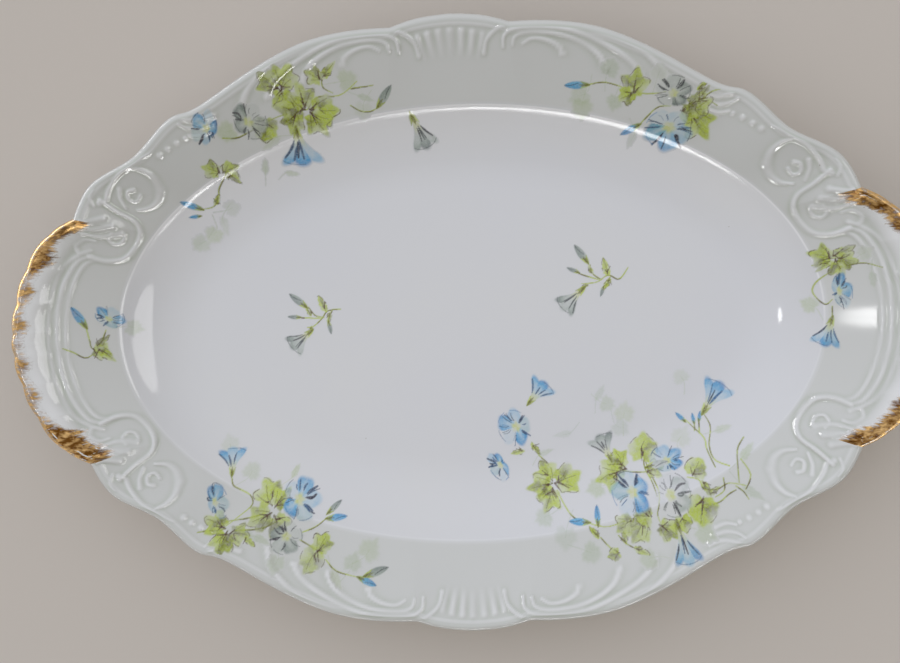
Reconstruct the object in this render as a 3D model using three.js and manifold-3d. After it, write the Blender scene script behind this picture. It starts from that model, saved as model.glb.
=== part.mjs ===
// Oval serving platter: a press-moulded porcelain dish with a scalloped rim and two broad handle
// ends, standing on a luted foot ring. Gold is brushed over both handle edges, and flower prints
// lie on the rim and in the well.
// Millimetres, +Z up, +X along the platter. The origin is at the centre of the plane it stands on.

import * as THREE from 'three';
import { mergeVertices } from 'three/addons/utils/BufferGeometryUtils.js';
import Module from 'manifold-3d';

// Plan of the dish
const overallLength = 406;
const overallWidth = 272;
const ovalPower = 1.68;        // exponent of the plain oval under the scallops: 2 is an ellipse
const rimWidthAtEnds = 45;     // shoulder to edge, in the middle of a handle
const rimWidthAtFlanks = 38;   // shoulder to edge, in the middle of a side
const coveWidth = 34;          // floor to shoulder

// Scallops of the edge, by the oval's own angle from the long axis
const handleNotchAngle = 28.5; // degrees, half of a handle end
const sideNotchAngle = 79.8;   // degrees, where the side lobe starts
const handleNotchDepth = 3.5;
const sideNotchDepth = 2;
const ruffleCount = 4;         // small scallops on half of a handle's edge
const ruffleDepth = 1;

// Heights and walls
const footHeight = 6;
const floorThickness = 5;
const rimThickness = 4;
const wellDepth = 14;          // floor up to the shoulder
const rimRise = 15;            // shoulder up to the edge, in the middle of a side
const handleLift = 3;          // further rise of the edge in the middle of a handle
const lipRoll = 2.6;           // the edge is rolled over this far in

// Foot ring
const footInset = 5;           // from the floor's edge in to the foot
const footRootWidth = 8;       // where it is luted on
const footTreadWidth = 4;      // where it stands
const footSegments = 96;

// Gold and prints, drawn as thin films
const filmGap = 0.3;           // clearance between a film and the glaze
const giltFilm = 0.3;
const giltWidth = 4;           // along the handle
const giltEndWidth = 9;        // at the patches beside the notches
const giltPatchShare = 0.25;   // share of half a handle that each patch takes up
const printFilm = 0.25;
const printMargin = 2;         // bare glaze kept between the prints and the gold or the lip
const drawingPitch = 1;        // length of one square of the drawings of the prints
const stemWidth = 1.4;
const leafLength = 12;
const leafWidth = 7;
const budLength = 10;
const budWidth = 5;
const petalCount = 5;

const halfLength = overallLength / 2;
const halfWidth = overallWidth / 2;
const shoulderX = halfLength - rimWidthAtEnds;
const shoulderY = halfWidth - rimWidthAtFlanks;
const floorX = shoulderX - coveWidth;
const floorY = shoulderY - coveWidth;
const floorTop = footHeight + floorThickness;
const shoulderTop = floorTop + wellDepth;
const coveAngle = 2 * Math.atan2(wellDepth, coveWidth);

// Materials
const glaze = new THREE.MeshStandardMaterial({ color: '#e4e5e3', roughness: 0.12, metalness: 0 });
const biscuit = new THREE.MeshStandardMaterial({ color: '#dad7cf', roughness: 0.75, metalness: 0 });
const gold = new THREE.MeshStandardMaterial({ color: '#a9773a', roughness: 0.35, metalness: 1 });
const bluePrint = new THREE.MeshStandardMaterial({ color: '#7fb0d8', roughness: 0.2, metalness: 0 });
const greenPrint = new THREE.MeshStandardMaterial({ color: '#a9b54e', roughness: 0.2, metalness: 0 });

// The plain oval under the scallops, at its own angle in radians
function plainOval(angle) {
  const power = 2 / ovalPower;
  return new THREE.Vector2(
    halfLength * Math.cos(angle) ** power,
    halfWidth * Math.sin(angle) ** power,
  );
}

// The edge from the middle of a handle to the middle of a side, in three runs that meet at the
// notches. Each point is [share of the run, offset from the plain oval].
const edgeRuns = [
  {
    from: 0,
    to: handleNotchAngle,
    steps: 4 * ruffleCount,
    ruffles: ruffleCount,
    points: [[0, 0], [0.35, 1.3], [0.63, 3], [0.86, 2.4], [1, -handleNotchDepth]],
  },
  {
    from: handleNotchAngle,
    to: sideNotchAngle,
    steps: 14,
    ruffles: 0,
    points: [
      [0, -handleNotchDepth], [0.12, 1.2], [0.25, -3], [0.39, 1], [0.48, -1.6], [0.77, 3],
      [1, -sideNotchDepth],
    ],
  },
  {
    from: sideNotchAngle,
    to: 90,
    steps: 4,
    ruffles: 0,
    points: [[0, -sideNotchDepth], [0.4, -0.4], [1, 0]],
  },
];

// Width of the gold, by the share of the way from the middle of a handle to its notch. It is wider
// at the patches beside the notches.
function giltWidthAt(share) {
  const patch = Math.max(0, 1 - (1 - share) / giltPatchShare);
  return giltWidth + (giltEndWidth - giltWidth) * patch;
}

// One quarter of the edge as spokes, each with its angle, its edge point and the width of gold on it
function quarterSpokes() {
  const spokes = [];
  for (const run of edgeRuns) {
    const knots = run.points.map(([share, offset]) => new THREE.Vector2(share, offset));
    const curve = new THREE.SplineCurve(knots);
    const first = spokes.length === 0 ? 0 : 1;
    for (let step = first; step <= run.steps; step += 1) {
      const sample = curve.getPoint(step / run.steps);
      const ruffle = ruffleDepth * (1 - Math.abs(Math.cos(Math.PI * run.ruffles * sample.x)));
      const angle = THREE.MathUtils.degToRad(run.from + (run.to - run.from) * sample.x);
      const base = plainOval(angle);
      const edge = base.clone().setLength(base.length() + sample.y - ruffle);
      const gilt = run.from === 0 ? giltWidthAt(sample.x) : 0;
      spokes.push({ angle, edge, gilt });
    }
  }
  return spokes;
}

// All the spokes, counter-clockwise from the middle of the right handle. Each also has its floor and
// shoulder points, the direction out across the rim, the rim's width, how far out prints may reach,
// and the height of the crest of the lip.
function wholeRound() {
  const quarter = quarterSpokes();
  const last = quarter.length - 1;
  const back = quarter.slice(0, last).reverse();
  const mirrored = (spokes, signX, signY) => spokes.map((spoke) => ({
    ...spoke,
    edge: new THREE.Vector2(signX * spoke.edge.x, signY * spoke.edge.y),
    signX,
    signY,
  }));
  const round = [
    ...mirrored(quarter, 1, 1),
    ...mirrored(back, -1, 1),
    ...mirrored(quarter.slice(1), -1, -1),
    ...mirrored(back.slice(0, -1), 1, -1),
  ];
  for (const spoke of round) {
    const cos = spoke.signX * Math.cos(spoke.angle);
    const sin = spoke.signY * Math.sin(spoke.angle);
    spoke.floor = new THREE.Vector2(floorX * cos, floorY * sin);
    spoke.shoulder = new THREE.Vector2(shoulderX * cos, shoulderY * sin);
    spoke.out = spoke.edge.clone().sub(spoke.shoulder).normalize();
    spoke.rimWidth = spoke.edge.distanceTo(spoke.shoulder);
    spoke.printReach = spoke.rimWidth - Math.max(spoke.gilt, lipRoll) - printMargin;
    spoke.crest = shoulderTop + rimRise + handleLift * Math.cos(spoke.angle) ** 2;
  }
  return round;
}

const spokes = wholeRound();

// A point on a spoke, measured out from its shoulder
function onSpoke(spoke, out, height) {
  const place = spoke.shoulder.clone().addScaledVector(spoke.out, out);
  return new THREE.Vector3(place.x, place.y, height);
}

// The cove is a round sweep from the floor to the shoulder. Its underside runs parallel to it.
function covePoint(spoke, share, depth) {
  const turn = coveAngle * share;
  const run = Math.sin(turn) / Math.sin(coveAngle);
  const climb = (1 - Math.cos(turn)) / (1 - Math.cos(coveAngle));
  const place = spoke.floor.clone().lerp(spoke.shoulder, run);
  place.addScaledVector(spoke.out, depth * Math.sin(turn));
  return new THREE.Vector3(place.x, place.y, floorTop + wellDepth * climb - depth * Math.cos(turn));
}

// Height of the rim's face at a distance out from the shoulder
function rimHeight(spoke, out) {
  const share = out / (spoke.rimWidth - lipRoll);
  return shoulderTop + (spoke.crest - shoulderTop) * share;
}

// A point on the rim's face, by the share of the way that prints may reach, or below the face
function rimPoint(spoke, share, depth) {
  const out = share * spoke.printReach;
  return onSpoke(spoke, out, rimHeight(spoke, out) - depth);
}

// The rolled lip: each point is [share of the roll in from the edge, share of the rim's thickness
// down from the crest, direction that its surface faces in degrees above level]
const lipCrest = [1, 0, 100];
const lipShape = [lipCrest, [0.3, 0.18, 50], [0, 0.5, 0], [0.3, 0.85, -50]];
const lipUnder = [1, 1, -90];

function lipPoint(spoke, [inShare, downShare, facing], lift) {
  const tilt = THREE.MathUtils.degToRad(facing);
  const out = spoke.rimWidth - inShare * lipRoll + lift * Math.cos(tilt);
  return onSpoke(spoke, out, spoke.crest - downShare * rimThickness + lift * Math.sin(tilt));
}

const ring = (pointOnSpoke) => spokes.map(pointOnSpoke);

// Rings of points become one closed skin. With both end heights given the first and last rings are
// filled to a middle point, and otherwise the last ring joins the first.
function skin(rings, middleTop, middleBottom) {
  const count = rings[0].length;
  const points = rings.flat();
  const faces = [];
  const joins = middleTop === undefined ? rings.length : rings.length - 1;
  for (let level = 0; level < joins; level += 1) {
    const inner = level * count;
    const outer = ((level + 1) % rings.length) * count;
    for (let step = 0; step < count; step += 1) {
      const next = (step + 1) % count;
      faces.push(inner + step, outer + step, outer + next);
      faces.push(inner + step, outer + next, inner + next);
    }
  }
  if (middleTop !== undefined) {
    const top = points.push(new THREE.Vector3(0, 0, middleTop)) - 1;
    const bottom = points.push(new THREE.Vector3(0, 0, middleBottom)) - 1;
    const lastRing = (rings.length - 1) * count;
    for (let step = 0; step < count; step += 1) {
      const next = (step + 1) % count;
      faces.push(top, step, next);
      faces.push(bottom, lastRing + next, lastRing + step);
    }
  }
  return indexed(points, faces);
}

function indexed(points, faces) {
  const geometry = new THREE.BufferGeometry().setFromPoints(points);
  geometry.setIndex(faces);
  geometry.computeVertexNormals();
  return geometry;
}

// The face that shows from above, out as far as the lip, lifted by a film's height
const coveShares = [0, 0.2, 0.4, 0.6, 0.8, 0.94];
const rimShares = [0.05, 0.35, 0.7, 1];

function faceRings(lift) {
  const raised = (point) => point.setZ(point.z + lift);
  return [
    ...coveShares.map((share) => ring((spoke) => raised(covePoint(spoke, share, 0)))),
    ...rimShares.map((share) => ring((spoke) => raised(rimPoint(spoke, share, 0)))),
  ];
}

function porcelainBody() {
  const underRimShares = [1, 0.6, 0.25];
  const underCoveShares = [1, 0.7, 0.4, 0];
  return skin([
    ...faceRings(0),
    ...lipShape.map((place) => ring((spoke) => lipPoint(spoke, place, 0))),
    ring((spoke) => lipPoint(spoke, lipUnder, 0)),
    ...underRimShares.map((share) => ring((spoke) => rimPoint(spoke, share, rimThickness))),
    ...underCoveShares.map((share) => ring((spoke) => covePoint(spoke, share, floorThickness))),
  ], floorTop, footHeight);
}

// The foot is a tapered ring: flat where it meets the underside and flat where it stands
function footRing() {
  const section = [
    [-footRootWidth / 2, footHeight],
    [footRootWidth / 2, footHeight],
    [footTreadWidth / 2, 0],
    [-footTreadWidth / 2, 0],
  ];
  const middle = footInset + footRootWidth / 2;
  const footPoint = (angle, [out, height]) => new THREE.Vector3(
    (floorX - middle + out) * Math.cos(angle),
    (floorY - middle + out) * Math.sin(angle),
    height,
  );
  const rings = section.map((place) => Array.from(
    { length: footSegments },
    (_, step) => footPoint((2 * Math.PI * step) / footSegments, place),
  ));
  return skin(rings);
}

// Gold over one handle's edge, from notch to notch
function giltEdge(signX) {
  const handle = spokes.filter((spoke) => spoke.signX === signX && spoke.gilt > 0);
  handle.sort((one, other) => signX * (one.edge.y - other.edge.y));
  const stations = handle.map((spoke) => {
    const innerOut = spoke.rimWidth - spoke.gilt;
    const inner = (lift) => onSpoke(spoke, innerOut, rimHeight(spoke, innerOut) + lift);
    const over = (lift) => [inner(lift), ...lipShape.map((place) => lipPoint(spoke, place, lift))];
    return [...over(filmGap + giltFilm), ...over(filmGap).reverse()];
  });
  const count = stations[0].length;
  const faces = [];
  for (let station = 0; station < stations.length - 1; station += 1) {
    for (let step = 0; step < count; step += 1) {
      const next = (step + 1) % count;
      const here = station * count;
      const there = here + count;
      faces.push(here + step, here + next, there + next);
      faces.push(here + step, there + next, there + step);
    }
  }
  const end = (stations.length - 1) * count;
  for (let step = 0; step < count / 2 - 1; step += 1) {
    const opposite = count - 1 - step;
    faces.push(step, opposite, opposite - 1);
    faces.push(step, opposite - 1, step + 1);
    faces.push(end + step, end + opposite - 1, end + opposite);
    faces.push(end + step, end + step + 1, end + opposite - 1);
  }
  return indexed(stations.flat(), faces);
}

// Joins and cuts
const wasm = await Module();
wasm.setup();

function solid(geometry) {
  const bare = geometry.clone();
  bare.deleteAttribute('normal');
  bare.deleteAttribute('uv');
  const merged = mergeVertices(bare, 1e-4);
  return new wasm.Manifold(new wasm.Mesh({
    numProp: 3,
    vertProperties: new Float32Array(merged.attributes.position.array),
    triVerts: new Uint32Array(merged.index.array),
  }));
}

function geometryOf(body) {
  const mesh = body.getMesh();
  const geometry = new THREE.BufferGeometry();
  const points = new Float32Array(mesh.vertProperties);
  geometry.setAttribute('position', new THREE.BufferAttribute(points, mesh.numProp));
  geometry.setIndex(new THREE.BufferAttribute(new Uint32Array(mesh.triVerts), 1));
  geometry.computeVertexNormals();
  return geometry;
}

// Everything below the face, lifted by a film's height, down to the plane that the foot stands on
function blockUnderFace(lift) {
  const rings = faceRings(lift);
  const base = rings.at(-1).map((point) => point.clone().setZ(0));
  return solid(skin([...rings, base], floorTop + lift, 0));
}

// The layer just over the glaze that every print is cut from
function printLayer() {
  return blockUnderFace(filmGap + printFilm).subtract(blockUnderFace(filmGap));
}

// Flat drawings of the print's motifs, as closed outlines of [x, y] points
function starOutline(radius, petals) {
  const points = [];
  for (let step = 0; step < 2 * petals; step += 1) {
    const reach = step % 2 === 0 ? radius : 0.72 * radius;
    const turn = (Math.PI * step) / petals;
    points.push(new THREE.Vector2(reach * Math.cos(turn), reach * Math.sin(turn)));
  }
  return points;
}

function leafOutline(length, width) {
  return [
    [0, -width * 0.15], [length * 0.3, -width / 2], [length * 0.7, -width * 0.3], [length, 0],
    [length * 0.7, width * 0.3], [length * 0.3, width / 2], [0, width * 0.15],
  ].map(([x, y]) => new THREE.Vector2(x, y));
}

function stemOutline(curve, steps) {
  const sides = [[], []];
  for (let step = 0; step <= steps; step += 1) {
    const at = curve.getPoint(step / steps);
    const along = curve.getTangent(step / steps);
    const across = new THREE.Vector2(-along.y, along.x).multiplyScalar(stemWidth / 2);
    sides[0].push(at.clone().sub(across));
    sides[1].push(at.clone().add(across));
  }
  return [...sides[0], ...sides[1].reverse()];
}

const placed = (outline, at, turn) => outline.map(
  (point) => point.clone().rotateAround(new THREE.Vector2(), turn).add(at),
);

const drawn = ([x, y]) => new THREE.Vector2(x, y).multiplyScalar(drawingPitch);

// A print is drawn in its own plan, [along the rim, out from the shoulder], or straight in the
// platter's plan for the sprigs in the well. Each stem carries alternate leaves and may end in a
// bud, and each flower has a turn of its own.
function printOutlines({ stems, flowers }) {
  const outlines = [];
  for (const stem of stems) {
    const curve = new THREE.SplineCurve(stem.points.map(drawn));
    outlines.push(stemOutline(curve, 2 * (stem.points.length - 1)));
    for (let leaf = 0; leaf < stem.leaves; leaf += 1) {
      const share = (leaf + 0.6) / stem.leaves;
      const along = curve.getTangent(share).angle();
      const side = leaf % 2 === 0 ? 1 : -1;
      const shape = leafOutline(leafLength, leafWidth);
      outlines.push(placed(shape, curve.getPoint(share), along + side * Math.PI / 3));
    }
    if (stem.bud) {
      const shape = leafOutline(budLength, budWidth);
      outlines.push(placed(shape, curve.getPoint(0.97), curve.getTangent(1).angle()));
    }
  }
  for (const [x, y, width] of flowers) {
    const shape = starOutline((drawingPitch * width) / 2, petalCount);
    const turn = x + y;
    outlines.push(placed(shape, drawn([x, y]), turn));
  }
  return outlines;
}

// The frame of a print that hangs on the shoulder: along the rim, clockwise, and out across it
function shoulderFrame(degrees) {
  const angle = THREE.MathUtils.degToRad(degrees);
  const at = new THREE.Vector2(shoulderX * Math.cos(angle), shoulderY * Math.sin(angle));
  const out = new THREE.Vector2(Math.cos(angle) / shoulderX, Math.sin(angle) / shoulderY).normalize();
  const along = new THREE.Vector2(out.y, -out.x);
  return (point) => at.clone().addScaledVector(along, point.x).addScaledVector(out, point.y);
}

function printFilmGeometry(layer, drawing) {
  const toPlan = drawing.shoulderAngle === undefined
    ? (point) => point
    : shoulderFrame(drawing.shoulderAngle);
  const height = shoulderTop + rimRise + handleLift;
  let stamp = null;
  for (const outline of printOutlines(drawing)) {
    const prism = solid(new THREE.ExtrudeGeometry(
      new THREE.Shape(outline.map(toPlan)),
      { depth: height, bevelEnabled: false },
    ));
    stamp = stamp === null ? prism : stamp.add(prism);
  }
  return geometryOf(stamp.intersect(layer));
}

// The eight prints. A flower is [x, y, width].
const prints = [
  {
    name: 'spray_upper_left',
    material: bluePrint,
    shoulderAngle: 120,
    stems: [
      {
        points: [[-26, 16], [-11, 12], [4, 13], [15, 10], [29, 10], [43, 8], [54, 0]],
        leaves: 5,
        bud: true,
      },
      { points: [[4, 13], [7, 5], [6, -5]], leaves: 1, bud: false },
      { points: [[-11, 12], [-22, 6], [-29, -3], [-39, -9], [-47, -9]], leaves: 2, bud: true },
      { points: [[43, 8], [51, -4], [58, -16]], leaves: 1, bud: true },
    ],
    flowers: [[-26, 17, 16], [-5, 12, 15], [6, -5, 15]],
  },
  {
    name: 'spray_upper_right',
    material: bluePrint,
    shoulderAngle: 60,
    stems: [
      { points: [[26, 20], [19, 14], [7, 16], [-6, 15], [-22, 13], [-34, 8]], leaves: 4, bud: true },
      { points: [[7, 16], [12, 10], [14, 2]], leaves: 1, bud: false },
      { points: [[14, 2], [6, -3], [-3, -2]], leaves: 1, bud: true },
    ],
    flowers: [[14, 2, 20], [9, 18, 13]],
  },
  {
    name: 'spray_left_handle',
    material: bluePrint,
    shoulderAngle: 180,
    stems: [
      { points: [[-3, 21], [-5, 13], [-1, 7], [8, 3]], leaves: 2, bud: false },
      { points: [[-1, 7], [7, 10], [12, 15]], leaves: 0, bud: true },
      { points: [[8, 3], [4, -3]], leaves: 0, bud: true },
    ],
    flowers: [[8, 3, 11]],
  },
  {
    name: 'spray_right_handle',
    material: bluePrint,
    shoulderAngle: 0,
    stems: [
      {
        points: [[-22, 22], [-21, 14], [-25, 6], [-18, 1], [-9, 6], [0, 2], [7, 0]],
        leaves: 4,
        bud: true,
      },
    ],
    flowers: [[-9, 6, 13]],
  },
  {
    name: 'spray_lower_left',
    material: bluePrint,
    shoulderAngle: 236,
    stems: [
      { points: [[29, -8], [27, 4], [19, 15], [6, 8], [-7, -5]], leaves: 4, bud: false },
      { points: [[6, 8], [-8, 10], [-23, 12], [-36, 14], [-44, 12]], leaves: 3, bud: true },
      { points: [[-7, -5], [-19, -9]], leaves: 0, bud: true },
    ],
    flowers: [[29, -8, 14], [-7, -5, 19], [-6, 11, 13]],
  },
  {
    name: 'spray_lower_right',
    material: greenPrint,
    shoulderAngle: 306,
    stems: [
      {
        points: [[10, -2], [27, -5], [40, -13], [48, -25], [50, -44], [53, -57], [47, -66]],
        leaves: 6,
        bud: true,
      },
      { points: [[10, -2], [-3, -14], [-16, -18], [-21, -28], [-31, -33]], leaves: 3, bud: true },
      { points: [[10, -2], [-10, 2], [-27, 0], [-34, -5]], leaves: 3, bud: true },
      { points: [[10, -2], [8, 9], [6, 16]], leaves: 1, bud: true },
      { points: [[27, -5], [25, -22], [21, -33]], leaves: 2, bud: false },
      { points: [[53, -57], [60, -52], [66, -46]], leaves: 0, bud: true },
      { points: [[27, -5], [38, 1], [44, 3]], leaves: 1, bud: true },
    ],
    flowers: [[18, -9, 19], [0, -3, 17], [21, -33, 15], [53, -57, 16], [-3, -16, 15]],
  },
  {
    name: 'sprig_well_left',
    material: greenPrint,
    stems: [
      { points: [[-59, 12], [-66, 5], [-73, -1], [-77, -8]], leaves: 3, bud: false },
      { points: [[-66, 5], [-72, 9], [-76, 11]], leaves: 0, bud: true },
    ],
    flowers: [[-77, -8, 13]],
  },
  {
    name: 'sprig_well_right',
    material: greenPrint,
    stems: [
      { points: [[71, 21], [61, 16], [52, 14], [46, 11]], leaves: 3, bud: false },
      { points: [[61, 16], [56, 20], [55, 25]], leaves: 0, bud: true },
    ],
    flowers: [[46, 11, 13]],
  },
];

// The assembly
const platter = new THREE.Group();

function addPiece(name, geometry, material) {
  const piece = new THREE.Mesh(geometry, material);
  piece.name = name;
  platter.add(piece);
}

addPiece('porcelain_body', porcelainBody(), glaze);
addPiece('foot_ring', footRing(), biscuit);
addPiece('gilt_edge_left', giltEdge(-1), gold);
addPiece('gilt_edge_right', giltEdge(1), gold);

const layer = printLayer();
for (const print of prints) {
  addPiece(print.name, printFilmGeometry(layer, print), print.material);
}

export default platter;
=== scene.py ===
"""Looks of an oval serving platter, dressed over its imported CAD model.

A press-moulded, glazed porcelain dish with scrolls in low relief stands on a luted foot. Gold is
brushed over both handle edges, and flower prints are fired into the glaze.
"""

import math
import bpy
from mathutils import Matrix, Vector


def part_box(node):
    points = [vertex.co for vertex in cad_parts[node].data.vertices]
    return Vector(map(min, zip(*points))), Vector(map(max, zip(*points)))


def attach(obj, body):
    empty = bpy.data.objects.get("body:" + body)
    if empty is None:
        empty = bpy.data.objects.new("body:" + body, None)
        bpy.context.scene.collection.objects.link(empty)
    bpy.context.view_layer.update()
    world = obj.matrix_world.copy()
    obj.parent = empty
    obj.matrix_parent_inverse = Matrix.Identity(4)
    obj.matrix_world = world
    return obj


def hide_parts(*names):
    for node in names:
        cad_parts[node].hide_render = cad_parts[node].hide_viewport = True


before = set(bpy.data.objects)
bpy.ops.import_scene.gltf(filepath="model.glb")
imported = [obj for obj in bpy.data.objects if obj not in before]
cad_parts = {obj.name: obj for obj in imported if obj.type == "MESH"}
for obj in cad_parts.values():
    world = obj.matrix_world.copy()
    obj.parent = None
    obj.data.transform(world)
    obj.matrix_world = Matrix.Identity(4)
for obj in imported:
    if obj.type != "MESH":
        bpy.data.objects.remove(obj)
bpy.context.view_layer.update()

from types import SimpleNamespace

import bpy
import numpy as np
from mathutils import Quaternion, Vector

bl_info = {
    "name": "Oval serving platter",
    "version": (1, 0, 0),
    "blender": (4, 5, 0),
    "location": "3D View > Sidebar > Platter",
    "description": "Moulded porcelain platter with gold on its handles and printed flowers",
    "category": "Mesh",
}

MM = 0.001
BODY_LOW, BODY_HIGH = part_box("porcelain_body")
FOOT_LOW, FOOT_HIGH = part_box("foot_ring")


def linear(hex_colour):
    """A colour written as sRGB hex, in the linear values that Blender works in."""
    parts = [int(hex_colour[start:start + 2], 16) / 255 for start in (1, 3, 5)]
    return tuple(p / 12.92 if p <= 0.04045 else ((p + 0.055) / 1.055) ** 2.4 for p in parts)


def length_setting(name, description, millimetres):
    """A length that the user may change, given in millimetres and kept in metres."""
    return bpy.props.FloatProperty(
        name=name, description=description, default=millimetres * MM, min=0.0, precision=5,
        unit="LENGTH",
    )


def colour_setting(name, description, hex_colour):
    """A colour that the user may change."""
    return bpy.props.FloatVectorProperty(
        name=name, description=description, default=linear(hex_colour), size=3, min=0.0, max=1.0,
        subtype="COLOR",
    )


class PlatterSizes(bpy.types.PropertyGroup):
    """Sizes of the dish, its foot and its gold."""

    overall_length: length_setting("Overall length", "Plain oval, handle end to handle end", 406)
    overall_width: length_setting(
        "Overall width", "Edge to edge across the middle", (BODY_HIGH.y - BODY_LOW.y) / MM)
    rim_width_ends: length_setting("Rim at the handles", "Shoulder to edge at a handle", 45)
    rim_width_flanks: length_setting("Rim at the flanks", "Shoulder to edge at a flank", 38)
    cove_width: length_setting("Cove width", "Floor to shoulder, in plan", 34)
    foot_height: length_setting(
        "Foot height", "Table to the underside of the floor", (FOOT_HIGH.z - FOOT_LOW.z) / MM)
    floor_thickness: length_setting("Floor thickness", "Wall of the floor and cove", 5)
    rim_thickness: length_setting("Rim thickness", "Wall of the rim", 4)
    well_depth: length_setting("Well depth", "Floor up to the shoulder", 14)
    rim_rise: length_setting("Rim rise", "Shoulder up to the edge at a flank", 15)
    handle_lift: length_setting("Handle lift", "Further rise of the edge at a handle", 3)
    lip_roll: length_setting("Lip roll", "How far in the edge is rounded over", 2.6)
    arris: length_setting("Shoulder softness", "Rounding of the shoulder line", 0.5)
    gilt_width: length_setting("Gold width", "Gold on the face beside the lip", 3)


class PlatterColours(bpy.types.PropertyGroup):
    """Colours of the glaze, clay, gold and print inks."""

    glaze: colour_setting("Glaze", "Clear glaze over white porcelain", "#e9e9e7")
    cool_glaze: colour_setting("Cool glaze", "Where the glaze lies thicker", "#e5e6ea")
    # Painted shade: the rim's glaze is greyer than the well's, standing in for shade on the rim
    rim_painted_shade: colour_setting("Rim glaze", "Greyer glaze of the moulded rim", "#dadbd7")
    # Glaze pooled in the relief's hollows, darkened further as painted shade
    pooled_glaze_and_shade: colour_setting("Pooled glaze", "In the hollows of the relief", "#c7ccc0")
    # Painted highlight: white laid over the handle's roll, the relief's crests, the far side of the
    # cove and the shoulder line, partly where the glaze runs thin
    thin_glaze_and_highlight: colour_setting("Thin glaze", "Where the glaze runs thin over edges", "#fdfdfd")
    fleck: colour_setting("Fleck", "Iron specks in the glaze", "#8d8273")
    biscuit: colour_setting("Biscuit", "Bare fired clay on the tread of the foot", "#d8d2c6")
    gold: colour_setting("Gold", "Burnished gold on the lip", "#f0c684")
    brown_gold: colour_setting("Brown gold", "Thin brushed gold on the face", "#653f10")
    blue: colour_setting("Blue ink", "Petals", "#7ccdf8")
    deep_blue: colour_setting("Deep blue ink", "Shaded petals", "#4f9fe0")
    pale_blue: colour_setting("Pale blue ink", "Petal rays", "#e4f3fb")
    teal: colour_setting("Teal ink", "Petals in shadow", "#8fc6c3")
    grey: colour_setting("Grey ink", "Grey petals", "#bfcbc0")
    deep_grey: colour_setting("Deep grey ink", "Shaded grey petals", "#7c8a86")
    cream: colour_setting("Cream ink", "Throats and tubes", "#f1f3b4")
    lime: colour_setting("Lime ink", "Young leaves", "#dcee62")
    olive: colour_setting("Olive ink", "Old leaves and stems", "#b9c838")
    moss: colour_setting("Moss ink", "Leaves in shadow", "#838722")
    brown: colour_setting("Brown ink", "Leaf veins and twigs", "#5e3d18")
    dark: colour_setting("Dark ink", "Petal veins and outlines", "#332a38")
    shade: colour_setting("Shade ink", "Faint leaves behind the sprays", "#d4e0cc")
    floor: colour_setting("Table", "Plain floor of the stage", "#d8d0c6")


def in_millimetres(sizes):
    """All the sizes in millimetres, by name."""
    names = PlatterSizes.__annotations__
    form = SimpleNamespace(**{name: getattr(sizes, name) / MM for name in names})
    form.floor_top = form.foot_height + form.floor_thickness
    form.shoulder_top = form.floor_top + form.well_depth
    form.cove_angle = 2 * math.atan2(form.well_depth, form.cove_width)
    form.shoulder = np.array([
        form.overall_length / 2 - form.rim_width_ends,
        form.overall_width / 2 - form.rim_width_flanks,
    ])
    form.floor = form.shoulder - form.cove_width
    return form


def spline(knots, shares):
    """Points at the shares from 0 to 1 along a smooth curve through the knots."""
    knots = np.asarray(knots, float)
    padded = np.vstack([knots[:1], knots, knots[-1:]])
    place = np.clip(np.asarray(shares, float), 0, 1) * (len(knots) - 1)
    first = np.minimum(place.astype(int), len(knots) - 2)
    step = (place - first)[:, None]
    before, here, there, after = (padded[first + count] for count in range(4))
    bend = 2 * before - 5 * here + 4 * there - after
    twist = 3 * (here - there) + after - before
    return here + 0.5 * step * (there - before + step * (bend + step * twist))


def smooth_step(low, high, value):
    """0 below low, 1 above high and a soft rise between."""
    share = np.clip((value - low) / (high - low), 0, 1)
    return share * share * (3 - 2 * share)


def at_height(plan, height):
    """Places in plan with their heights, or with one height for all."""
    height = np.broadcast_to(height, plan.shape[:-1])
    return np.concatenate([plan, height[..., None]], axis=-1)


# The scalloped edge, from the middle of a handle to the middle of a flank. Each run has its angles
# in degrees, its ruffles and its points of (share of the run, offset from the plain oval in mm).
OVAL_POWER = 1.68
RUFFLE_DEPTH = 1.0
HANDLE_FADES = (0.72, 0.98)
EDGE_RUNS = (
    SimpleNamespace(start=0.0, end=28.5, ruffles=4, points=(
        (0, 0), (0.35, 1.3), (0.63, 3), (0.86, 2.4), (1, -3.5))),
    SimpleNamespace(start=28.5, end=79.8, ruffles=0, points=(
        (0, -3.5), (0.12, 1.2), (0.25, -3), (0.39, 1), (0.48, -1.6), (0.77, 3), (1, -2))),
    SimpleNamespace(start=79.8, end=90.0, ruffles=0, points=((0, -2), (0.4, -0.4), (1, 0))),
)


def run_samples(run, shares):
    """Places along one run of the edge: angle in radians, offset from the plain oval in millimetres,
    depth of the ruffles, weight of the handle's roll, and swell of the flutes behind its ruffles."""
    sample = spline(run.points, shares)
    angle = np.radians(run.start + (run.end - run.start) * sample[:, 0])
    ruffle = RUFFLE_DEPTH * (1 - np.abs(np.cos(math.pi * run.ruffles * sample[:, 0])))
    handle = min(run.ruffles, 1) * (1 - smooth_step(*HANDLE_FADES, sample[:, 0]))
    flute = handle * np.cos(2 * math.pi * run.ruffles * sample[:, 0])
    return np.stack([angle, sample[:, 1], ruffle, handle, flute])


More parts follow.
